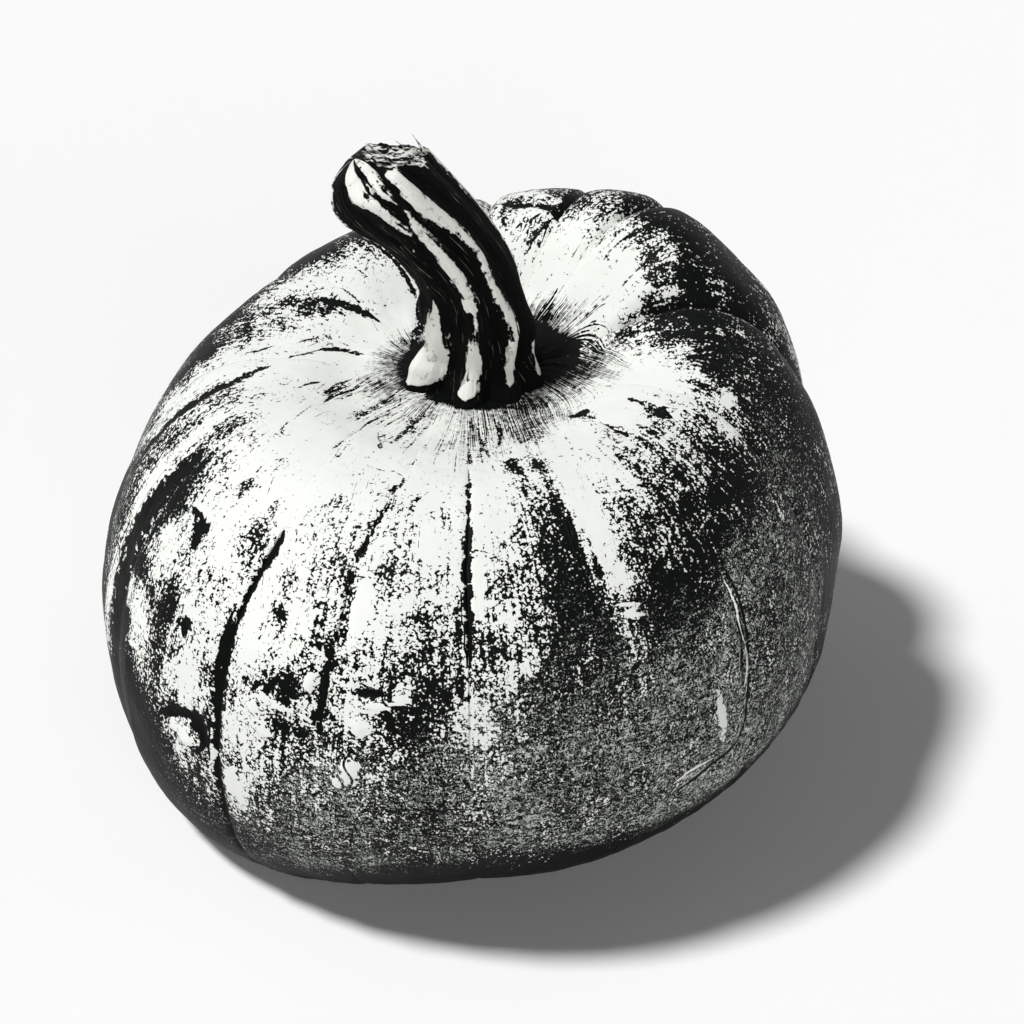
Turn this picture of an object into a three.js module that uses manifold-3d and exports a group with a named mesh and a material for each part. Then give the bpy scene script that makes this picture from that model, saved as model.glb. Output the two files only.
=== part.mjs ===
// A buttercup squash, as picked: a squat ribbed fruit with a deep stem pit and raised back shoulders,
// and the thick ridged stem that grows out of the pit and leans to the left.
//
// Millimetres, +Z up. The squash stands on the floor, z = 0, on the flat spot under it.
// Azimuths are degrees about +Z from +X, so -90 is the front.
import * as THREE from "three";
import { mergeVertices } from "three/addons/utils/BufferGeometryUtils.js";
import Module from "manifold-3d";

// ---- Driving dimensions -------------------------------------------------------------------------

// The fruit's meridian, [radius, height], from the pit's centre over the shoulder and the equator
// to the flat spot, the moat round the blossom-end button, and the button's centre.
const MERIDIAN = [
  [0, 100], [15, 99.5], [28, 101], [42, 105], [58, 103.5], [73, 93], [84.5, 75], [90, 52],
  [87.5, 29], [78, 12], [62, 1], [47, -4.5], [35, -4.5], [26, 3], [17, 1.5], [7, 1], [0, 3],
];
const PIT_SETBACK = 5; // the stem pit's centre lies this far behind the axis
const PIT_REACH = [0.1, 0.45]; // share of the meridian over which the setback runs out

// Each groove between two ribs: its azimuth, its depth on the shoulder and on the belly, and how
// round the ribs beside it are (a small number gives broad flat ribs with a pinched groove).
const GROOVES = [
  { azimuth: -157, shoulder: 2.0, belly: 2.0, roundness: 0.42 },
  { azimuth: -130, shoulder: 2.0, belly: 2.0, roundness: 0.42 },
  { azimuth: -109, shoulder: 1.4, belly: 1.4, roundness: 0.42 },
  { azimuth: -90, shoulder: 1.6, belly: 1.6, roundness: 0.38 },
  { azimuth: -68, shoulder: 1.5, belly: 1.5, roundness: 0.42 },
  { azimuth: -45, shoulder: 2.0, belly: 2.0, roundness: 0.42 },
  { azimuth: -23, shoulder: 2.6, belly: 2.6, roundness: 0.45 },
  { azimuth: 10, shoulder: 8.0, belly: 4.0, roundness: 0.6 },
  { azimuth: 43, shoulder: 8.0, belly: 3.5, roundness: 0.7 },
  { azimuth: 60, shoulder: 8.0, belly: 3.5, roundness: 0.7 },
  { azimuth: 84, shoulder: 7.0, belly: 3.5, roundness: 0.65 },
  { azimuth: 110, shoulder: 4.5, belly: 3.0, roundness: 0.6 },
  { azimuth: 136, shoulder: 3.0, belly: 2.4, roundness: 0.5 },
  { azimuth: 174, shoulder: 2.2, belly: 2.2, roundness: 0.45 },
];
// Shares of the meridian over which the grooves begin under the stem, pass from their shoulder
// depth to their belly depth, and run out at the flat spot.
const GROOVE_START = [0.04, 0.24];
const GROOVE_EASE = [0.28, 0.5];
const GROOVE_END = [0.52, 0.74];

// Broad swellings of the skin, outwards or inwards: where, how wide in degrees and in share of
// the meridian, and how high.
const SWELLS = [
  { azimuth: -155, along: 0.57, wide: 50, tall: 0.1, height: 7 },
  { azimuth: -132, along: 0.6, wide: 26, tall: 0.06, height: 3 },
  { azimuth: -22, along: 0.6, wide: 48, tall: 0.12, height: -5 },
  { azimuth: -93, along: 0.6, wide: 30, tall: 0.08, height: -5 },
  { azimuth: 28, along: 0.28, wide: 24, tall: 0.08, height: 4 },
];

// Shoulders that stand higher or lower than the meridian: full height between the two shares.
const SHOULDER_RISES = [
  { azimuth: 44, wide: 52, height: 17.5 },
  { azimuth: 172, wide: 50, height: -3 },
  { azimuth: 119, wide: 32, height: 4 },
];
const RISE_START = [0.06, 0.24];
const RISE_END = [0.28, 0.55];

const LEAN = 2; // degrees that the fruit's axis leans towards -X
const LEAN_PIVOT = 52; // height of the point that it leans about
const FLAT_BLEND = 3; // the skin curves into the flat spot over this height above the floor

const RIB_COLUMNS = 5; // facets across each rib
const FRUIT_ROWS = 38; // facets along the meridian

// The stem's centre line, [x, y, z, radius]. It starts inside the pit's floor, and is cut off there.
const STEM_LINE = [
  [1.4, 5, 90, 21], [1.4, 5, 99, 16.4], [1.4, 5, 106, 12.6], [1.2, 5, 114, 11.3], [0, 5, 124, 10.3],
  [-5, 5, 133.5, 10.3], [-12, 5, 141.8, 10.9], [-17.5, 5, 147, 11.6], [-22, 5.5, 151, 10.9],
  [-24.5, 6, 154, 8],
];
const STEM_RIDGES = [-155, -101, -52, -12, 32, 76, 120, 163]; // azimuths about the centre line
const STEM_RIDGE_HEIGHT = 0.16; // share of the radius, along the shaft
const STEM_TOE_HEIGHT = 0.12; // what the ridges gain where they spread into toes on the pit's floor
const STEM_TOE_END = 0.35; // share of the stem over which the toes run out
const STEM_RIDGE_MEAN = 0.6; // the ridge wave's mean level, which leaves the radius as stated
const RIDGE_COLUMNS = 8; // facets from ridge to ridge
const STEM_ROWS = 22; // facets along the stem
const CUT_RIM = 0.9; // the cut end's rim, as a share of the end radius
const CUT_ROUND = 0.6; // how far the rim stands beyond the end of the shaft
const CUT_DISH = 1.2; // how far the cut end's middle is sunk below the end of the shaft
const JOINT_GAP = 0.35; // between the stem's foot and the pit's floor

// ---- Small helpers ------------------------------------------------------------------------------

const radians = THREE.MathUtils.degToRad;
const ramp = ([start, end], x) => THREE.MathUtils.smoothstep(x, start, end);
const bell = (distance, width) => Math.exp(-((distance / width) ** 2));
const turnBetween = (a, b) => THREE.MathUtils.euclideanModulo(a - b + 180, 360) - 180;

// Turns a point of the fruit's own upright frame into the leaning pose.
function lean(point) {
  point.z -= LEAN_PIVOT;
  point.applyAxisAngle(new THREE.Vector3(0, 1, 0), -radians(LEAN));
  point.z += LEAN_PIVOT;
  return point;
}

// Heights under the floor become the flat spot, with a short smooth bend into it.
function settledHeight(z) {
  if (z <= -FLAT_BLEND) return 0;
  if (z >= FLAT_BLEND) return z;
  return (z + FLAT_BLEND) ** 2 / (4 * FLAT_BLEND);
}

// ---- Fruit --------------------------------------------------------------------------------------

const meridian = new THREE.SplineCurve(MERIDIAN.map(([r, z]) => new THREE.Vector2(r, z)));

// Where a column lies when each stretch from one azimuth in a list to the next has the same number
// of columns: the stretch that it is in, how far across it is from 0 to 1, and its azimuth.
function columnPlace(azimuths, columnsEach, column) {
  const stretch = Math.floor(column / columnsEach) % azimuths.length;
  const next = (stretch + 1) % azimuths.length;
  const across = (column % columnsEach) / columnsEach;
  const width = THREE.MathUtils.euclideanModulo(azimuths[next] - azimuths[stretch], 360);
  return { stretch, next, across, azimuth: azimuths[stretch] + width * across };
}

const grooveAzimuths = GROOVES.map((groove) => groove.azimuth);

// How far the skin lies under the ribs' crests, at a column's place and a share of the meridian.
function grooveDrop({ stretch, next, across }, along) {
  const between = (key) => THREE.MathUtils.lerp(GROOVES[stretch][key], GROOVES[next][key], across);
  const depth = THREE.MathUtils.lerp(between("shoulder"), between("belly"), ramp(GROOVE_EASE, along));
  const ribs = ramp(GROOVE_START, along) * (1 - ramp(GROOVE_END, along));
  return ribs * depth * (1 - Math.sin(Math.PI * across) ** between("roundness"));
}

// The rind's surface at a column and a share of the meridian.
function skinPoint(column, along) {
  const place = columnPlace(grooveAzimuths, RIB_COLUMNS, column);
  const azimuth = place.azimuth;
  const onMeridian = meridian.getPoint(along);
  const tangent = meridian.getTangent(along);
  let out = -grooveDrop(place, along);
  for (const s of SWELLS) {
    out += s.height * bell(turnBetween(azimuth, s.azimuth), s.wide) * bell(along - s.along, s.tall);
  }
  let rise = 0;
  for (const s of SHOULDER_RISES) rise += s.height * bell(turnBetween(azimuth, s.azimuth), s.wide);
  rise *= ramp(RISE_START, along) * (1 - ramp(RISE_END, along));
  const radius = onMeridian.x - tangent.y * out;
  const height = onMeridian.y + tangent.x * out + rise;
  const turn = radians(azimuth);
  const setback = PIT_SETBACK * (1 - ramp(PIT_REACH, along));
  const point = new THREE.Vector3(radius * Math.cos(turn), radius * Math.sin(turn) + setback, height);
  lean(point);
  point.z = settledHeight(point.z);
  return point;
}

function fruitGeometry() {
  const columns = RIB_COLUMNS * GROOVES.length;
  const geometry = new THREE.LatheGeometry(meridian.getPoints(FRUIT_ROWS), columns);
  const positions = geometry.getAttribute("position");
  for (let i = 0; i < positions.count; i++) {
    const column = Math.floor(i / (FRUIT_ROWS + 1)) % columns;
    const point = skinPoint(column, 1 - (i % (FRUIT_ROWS + 1)) / FRUIT_ROWS);
    positions.setXYZ(i, point.x, point.y, point.z);
  }
  return geometry;
}

// ---- Stem ---------------------------------------------------------------------------------------

const stemLine = new THREE.CatmullRomCurve3(
  STEM_LINE.map(([x, y, z]) => new THREE.Vector3(x, y, z)), false, "catmullrom", 0.5,
);
const stemRadii = new THREE.SplineCurve(
  STEM_LINE.map(([, , , radius], i) => new THREE.Vector2(i, radius)),
);

// The stem's surface at a column and a share of its length; reach is 0 on the centre line and 1 on
// the skin.
function stemPoint(along, column, reach) {
  const centre = stemLine.getPoint(along);
  const tangent = stemLine.getTangent(along);
  const side = new THREE.Vector3(0, 1, 0).cross(tangent).normalize();
  const back = tangent.clone().cross(side);
  const place = columnPlace(STEM_RIDGES, RIDGE_COLUMNS, column);
  const crest = Math.abs(Math.cos(Math.PI * place.across));
  const toe = STEM_TOE_HEIGHT * (1 - ramp([0, STEM_TOE_END], along));
  const swing = (STEM_RIDGE_HEIGHT + toe) * (crest - STEM_RIDGE_MEAN);
  const radius = stemRadii.getPoint(along).y * (1 + swing) * reach;
  const turn = radians(place.azimuth);
  return centre
    .addScaledVector(side, radius * Math.cos(turn))
    .addScaledVector(back, radius * Math.sin(turn));
}

function stemGeometry() {
  // The outline is [reach, share of the length]: the foot's disc, the shaft, the rounded rim of
  // the cut and its sunk middle.
  const outline = [new THREE.Vector2(0, 0)];
  for (let row = 0; row <= STEM_ROWS; row++) outline.push(new THREE.Vector2(1, row / STEM_ROWS));
  outline.push(new THREE.Vector2(CUT_RIM, 1), new THREE.Vector2(CUT_RIM / 2, 1), new THREE.Vector2(0, 1));
  const columns = RIDGE_COLUMNS * STEM_RIDGES.length;
  const geometry = new THREE.LatheGeometry(outline, columns);
  const positions = geometry.getAttribute("position");
  const end = stemLine.getTangent(1);
  for (let i = 0; i < positions.count; i++) {
    const column = Math.floor(i / outline.length) % columns;
    const { x: reach, y: along } = outline[i % outline.length];
    const point = stemPoint(along, column, reach);
    if (along === 1 && reach < 1) point.addScaledVector(end, reach === CUT_RIM ? CUT_ROUND : -CUT_DISH);
    positions.setXYZ(i, point.x, point.y, point.z);
  }
  return geometry;
}

// ---- Solids -------------------------------------------------------------------------------------

const wasm = await Module();
wasm.setup();

// A closed geometry as a solid that can be cut.
function solidOf(geometry) {
  const bare = new THREE.BufferGeometry();
  bare.setAttribute("position", geometry.getAttribute("position"));
  bare.setIndex(geometry.index);
  const merged = mergeVertices(bare, 1e-3);
  const triVerts = new Uint32Array(merged.index.array);
  return new wasm.Manifold(
    new wasm.Mesh({ numProp: 3, vertProperties: merged.getAttribute("position").array, triVerts }),
  );
}

function geometryOf(solid) {
  const mesh = solid.getMesh();
  const geometry = new THREE.BufferGeometry();
  geometry.setAttribute("position", new THREE.BufferAttribute(mesh.vertProperties, 3));
  geometry.setIndex(new THREE.BufferAttribute(mesh.triVerts, 1));
  geometry.computeVertexNormals();
  return geometry;
}

const fruit = fruitGeometry();
const raisedFruit = solidOf(fruitGeometry().translate(0, 0, JOINT_GAP));
const stem = geometryOf(solidOf(stemGeometry()).subtract(raisedFruit));

// ---- Scene graph --------------------------------------------------------------------------------

const rind = new THREE.MeshStandardMaterial({ color: 0x3a4039, roughness: 0.45, metalness: 0 });
const stemSkin = new THREE.MeshStandardMaterial({ color: 0x2b302a, roughness: 0.75, metalness: 0 });

const fruitMesh = new THREE.Mesh(fruit, rind);
fruitMesh.name = "fruit";
const stemMesh = new THREE.Mesh(stem, stemSkin);
stemMesh.name = "stem";

// The part's origin is on the floor, under the middle of its bounding box.
const squash = new THREE.Group();
squash.add(fruitMesh, stemMesh);
const middle = new THREE.Box3().setFromObject(squash).getCenter(new THREE.Vector3());
squash.position.set(-middle.x, -middle.y, 0);

export default squash;
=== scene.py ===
"""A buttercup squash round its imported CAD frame: a mottled, ribbed rind and a ridged corky stem.

Blender objects are in metres. The shape constants are in millimetres and are scaled by MM.
An azimuth is in degrees about +Z from +X, so -90 is the front. "along" is a share of the fruit's
meridian: 0 at the stem pit's centre, 0.19 on the shoulder, 0.44 at the equator, 0.7 on the flat spot
and 1 at the blossom end. On the stem it is a share of the stem's length, from foot to cut.
A pair of shares such as (0.04, 0.24) is a span: a change starts at the first and is done at the second.
"""

import math

import bpy
import numpy as np
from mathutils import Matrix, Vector


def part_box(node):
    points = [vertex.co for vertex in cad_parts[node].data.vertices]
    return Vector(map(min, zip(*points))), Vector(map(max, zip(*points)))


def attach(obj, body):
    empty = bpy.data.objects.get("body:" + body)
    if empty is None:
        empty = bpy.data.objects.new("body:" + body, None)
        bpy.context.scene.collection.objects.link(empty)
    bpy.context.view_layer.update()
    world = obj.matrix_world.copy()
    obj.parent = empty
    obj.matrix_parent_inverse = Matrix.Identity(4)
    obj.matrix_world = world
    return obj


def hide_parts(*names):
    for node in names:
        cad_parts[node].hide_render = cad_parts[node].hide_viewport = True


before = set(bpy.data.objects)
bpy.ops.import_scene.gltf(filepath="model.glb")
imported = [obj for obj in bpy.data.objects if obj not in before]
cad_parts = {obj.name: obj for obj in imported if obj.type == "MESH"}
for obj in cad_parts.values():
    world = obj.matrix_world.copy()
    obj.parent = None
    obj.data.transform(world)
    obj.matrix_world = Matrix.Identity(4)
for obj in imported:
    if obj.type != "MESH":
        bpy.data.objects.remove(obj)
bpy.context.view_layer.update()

MM = 0.001

# ---- The fruit's shape, as the CAD model states it ----

# radius and height
MERIDIAN = [
    (0, 100), (15, 99.5), (28, 101), (42, 105), (58, 103.5), (73, 93), (84.5, 75), (90, 52), (87.5, 29),
    (78, 12), (62, 1), (47, -4.5), (35, -4.5), (26, 3), (17, 1.5), (7, 1), (0, 3),
]
PIT_SETBACK = 5  # how far back the stem pit lies
PIT_REACH = (0.1, 0.45)  # the shares over which the rind comes back from that
# azimuth, shoulder depth, belly depth, roundness of the ribs beside it
GROOVES = [
    (-157, 2, 2, 0.42), (-130, 2, 2, 0.42), (-109, 1.4, 1.4, 0.42), (-90, 1.6, 1.6, 0.38),
    (-68, 1.5, 1.5, 0.42), (-45, 2, 2, 0.42), (-23, 2.6, 2.6, 0.45), (10, 8, 4, 0.6), (43, 8, 3.5, 0.7),
    (60, 8, 3.5, 0.7), (84, 7, 3.5, 0.65), (110, 4.5, 3, 0.6), (136, 3, 2.4, 0.5), (174, 2.2, 2.2, 0.45),
]
GROOVE_START = (0.04, 0.24)
GROOVE_EASE = (0.28, 0.5)  # from the shoulder's depth to the belly's
GROOVE_END = (0.52, 0.74)
# azimuth, along, width in degrees, height as a share of the meridian, swelling
SWELLS = [
    (-155, 0.57, 50, 0.1, 7), (-132, 0.6, 26, 0.06, 3), (-22, 0.6, 48, 0.12, -5), (-93, 0.6, 30, 0.08, -5),
    (28, 0.28, 24, 0.08, 4),
]
SHOULDER_RISES = [(44, 52, 17.5), (172, 50, -3), (119, 32, 4)]  # azimuth, width, rise
RISE_START = (0.06, 0.24)
RISE_END = (0.28, 0.55)
LEAN = 2  # degrees, towards -X
LEAN_PIVOT = 52  # the height about which it leans
FLAT_BLEND = 3  # the height below which the underside is eased onto the floor

# ---- The stem's shape, as the CAD model states it ----

# x, y, z and radius
STEM_LINE = [
    (1.4, 5, 90, 21), (1.4, 5, 99, 16.4), (1.4, 5, 106, 12.6), (1.2, 5, 114, 11.3), (0, 5, 124, 10.3),
    (-5, 5, 133.5, 10.3), (-12, 5, 141.8, 10.9), (-17.5, 5, 147, 11.6), (-22, 5.5, 151, 10.9),
    (-24.5, 6, 154, 8),
]
STEM_RIDGE_HEIGHT = 0.16  # from furrow to crest, as a share of the radius
STEM_TOE_HEIGHT = 0.12  # what the foot's ridges have on top of that
STEM_TOE_END = 0.35  # the share of the stem at which they have lost it
STEM_RIDGE_MEAN = 0.6  # the share of a ridge's height at which the radius is taken

# ---- The visual meshes' fineness ----

RIB_COLUMNS = 32
COLUMN_CROWDING = 0.55  # how much closer the columns stand beside a groove, from 0 to 1
FRUIT_ROWS = 214
ROW_PLACES = [(0, 0), (10, 0.05), (168, 0.56), (FRUIT_ROWS + 1, 1)]  # row, and its share of the meridian
BEND_ROUNDS = 4  # rounds of settling the columns on the bent grooves
RIDGE_COLUMNS = 44
STEM_ROWS = 230
TIP_ROWS = 16
FIBRE_RINGS, FIBRE_SIDES = 8, 7

# ---- The grooves as the visual rind has them ----

# How far a groove strays from its azimuth: the groove, and the turn in degrees at shares of the
# meridian; and how widely its neighbourhood follows it.
BENDS = [
    (-130, [(0.06, 0), (0.1, -7), (0.14, -5), (0.18, -1), (0.22, 2.5), (0.27, 3.8), (0.3, 3.2), (0.33, 1.8),
        (0.36, 1.1), (0.44, 0.9), (0.52, 0.7), (0.7, 0)]),
    (-109, [(0.06, 0), (0.1, 2), (0.15, 4.2), (0.2, 4.2), (0.23, 2.7), (0.26, 1), (0.3, -0.7), (0.36, -2),
        (0.4, -2.6), (0.46, -1.5), (0.55, 0)]),
    (-90, [(0.06, 0), (0.1, 1), (0.2, 1.5), (0.25, 1.3), (0.29, 0.5), (0.33, 0.6), (0.4, 0)]),
    (-68, [(0.16, 0), (0.22, -1.2), (0.3, -1.2), (0.4, 0)]),
    (-45, [(0.12, 0), (0.19, 1.4), (0.24, 0.5), (0.3, 0)]),
]
BEND_WIDTH = 8
# How much of a groove the visual rind fills in above, on and below its belly, up to so many mm. The
# belly is filled in only round the front, out to so many degrees from an azimuth.
SHOULDER_FILL, SHOULDER_SPAN = 0.9, (0.26, 0.34)
BELLY_FILL, BELLY_FILL_AT, BELLY_FILL_REACH = 0.75, -100, (60, 95)
FOOT_FILL, FOOT_FILL_SPAN = 0.8, (0.42, 0.52)
FILL_LIMIT = 2.5

# ---- Relief and markings on the rind ----
# Tones are in spreads of the mottling: at 0 half of the rind is dark, at 2 nearly all, at -2 nearly
# none.

# Layers of noise for noises(): height in mm, features per unit of the coordinates, and seed. The
# unevenness is laid over coordinates in mm, the others over those of flow_of() with the pair beside them.
UNEVENNESS = [(0.5, 1 / 24, 1), (0.22, 1 / 9, 2), (0.08, 1 / 3.5, 5)]
WRINKLES, WRINKLE_FLOW = [(0.3, 1, 4)], (14, 12)  # round the stem
WRINKLES_START, WRINKLES_END = (0.03, 0.07), (0.1, 0.22)
RIPPLES, RIPPLE_FLOW = [(0.16, 1, 6)], (34, 14)  # on the belly
RIPPLES_START = (0.3, 0.45)
MARK_FLOW = (32, 24)  # for the material's drawn-out noise
RELIEF_RISE = (0.2, 4)  # heights in mm above the floor over which the relief sets in

# A spot is a hollow, a wart, a boss or a dent. Distances from its middle are in its half sizes.
PLAIN_SPOT, CURLED_SPOT = 1.0, 2.0  # the kinds of spot, where 0 is none
SPOT_REACH = 4  # beyond this a point is in no spot
SPOT_FAR = 9.0  # where a point is said to be that no spot is near
SPOT_CUT = 5  # times the larger of its half sizes beyond which a spot isn't near
SPOT_STEEPNESS = 2.8
SPOT_STEPS = (0.5, 0.002)  # degrees and share over which a spot's own directions are taken

# azimuth, along, half width and half height in mm, and depth of each dark hollow
HOLLOWS = [
    (-138.3, 0.371, 2, 2.4, 0.7), (-144, 0.312, 2.6, 2.4, 0.5), (-143.6, 0.324, 1.7, 1.8, 0.4),
    (-147.2, 0.306, 2.6, 0.7, 0.3), (-117.3, 0.402, 2.2, 1, 0.7), (-114.4, 0.404, 1.4, 1, 0.5),
    (-104.4, 0.37, 3.6, 1.2, 1.2), (-112.2, 0.392, 1.4, 1.9, 0.4), (62.8, 0.208, 1.8, 1.3, 0.9),
    (66.6, 0.211, 2, 1, 0.9), (73.5, 0.213, 3.2, 0.8, 0.7), (78, 0.222, 1.2, 1.6, 0.6),
    (151, 0.41, 2.6, 1, 0.8), (103, 0.372, 2.2, 0.9, 0.7), (121, 0.455, 2.8, 1.1, 0.8),
    (49, 0.43, 1.8, 1.1, 0.6),
]
# azimuth, along, half width and half height in mm, and height of each pale wart
WARTS = [
    (-137.8, 0.4375, 1.3, 1.9, 0.7), (-134.8, 0.4425, 2.5, 1.9, 1.2), (-121, 0.387, 1, 1.4, 0.6),
    (-113.7, 0.371, 1.6, 2, 0.8), (-118.4, 0.3905, 2.8, 0.9, 0.6), (-122.4, 0.396, 1.8, 1.6, 0.8),
    (-120.2, 0.409, 2.2, 1.2, 0.7), (-105.4, 0.391, 2.2, 2.5, 0.9), (-103.2, 0.3772, 3.4, 0.8, 0.7),
    (-99.2, 0.371, 2.2, 0.9, 0.6), (-108.9, 0.4285, 0.9, 1.2, 0.5), (-106.9, 0.419, 2.5, 4.4, 1.2),
    (69, 0.226, 1.6, 1.2, 0.6), (64.6, 0.221, 0.9, 1.1, 0.4), (151.5, 0.4, 3, 2, 0.9),
    (103.2, 0.36, 2.4, 2.4, 0.8), (18, 0.45, 2.6, 2.2, 0.8), (121.6, 0.468, 3.2, 2, 0.9),
    (49.4, 0.42, 2, 2.2, 0.8), (-51.6, 0.424, 1.3, 6.2, 0.4),
]
CURLED_WART = (-106.9, 0.419)  # the wart with curled lines on it
# azimuth, along, half width and half height in mm, and height of the bosses and dents without marking
BOSSES = [
    (-110.5, 0.466, 3.2, 4.6, 0.8), (46, 0.118, 3.4, 2.6, 1.2), (2, 0.2, 15, 17, -2.6),
    (-16, 0.448, 18, 14, -1.5), (22, 0.29, 15, 13, -2.3),
]

MERIDIAN_LENGTH = 240
STROKE_REACH = 5.5  # mm from its middle out to which a line marks the rind
STROKE_TONE_REACH = 2.1  # mm from its edge out to which a line has its tone
STROKE_FAR = 99.0  # how many mm away a point is said to be that no line is near
STROKE_POINT = 1 / 3  # share of its first and last stretch over which a line comes to a point
STROKE_FURROW = 0.8  # the least half width in mm of the furrow under a line
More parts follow.
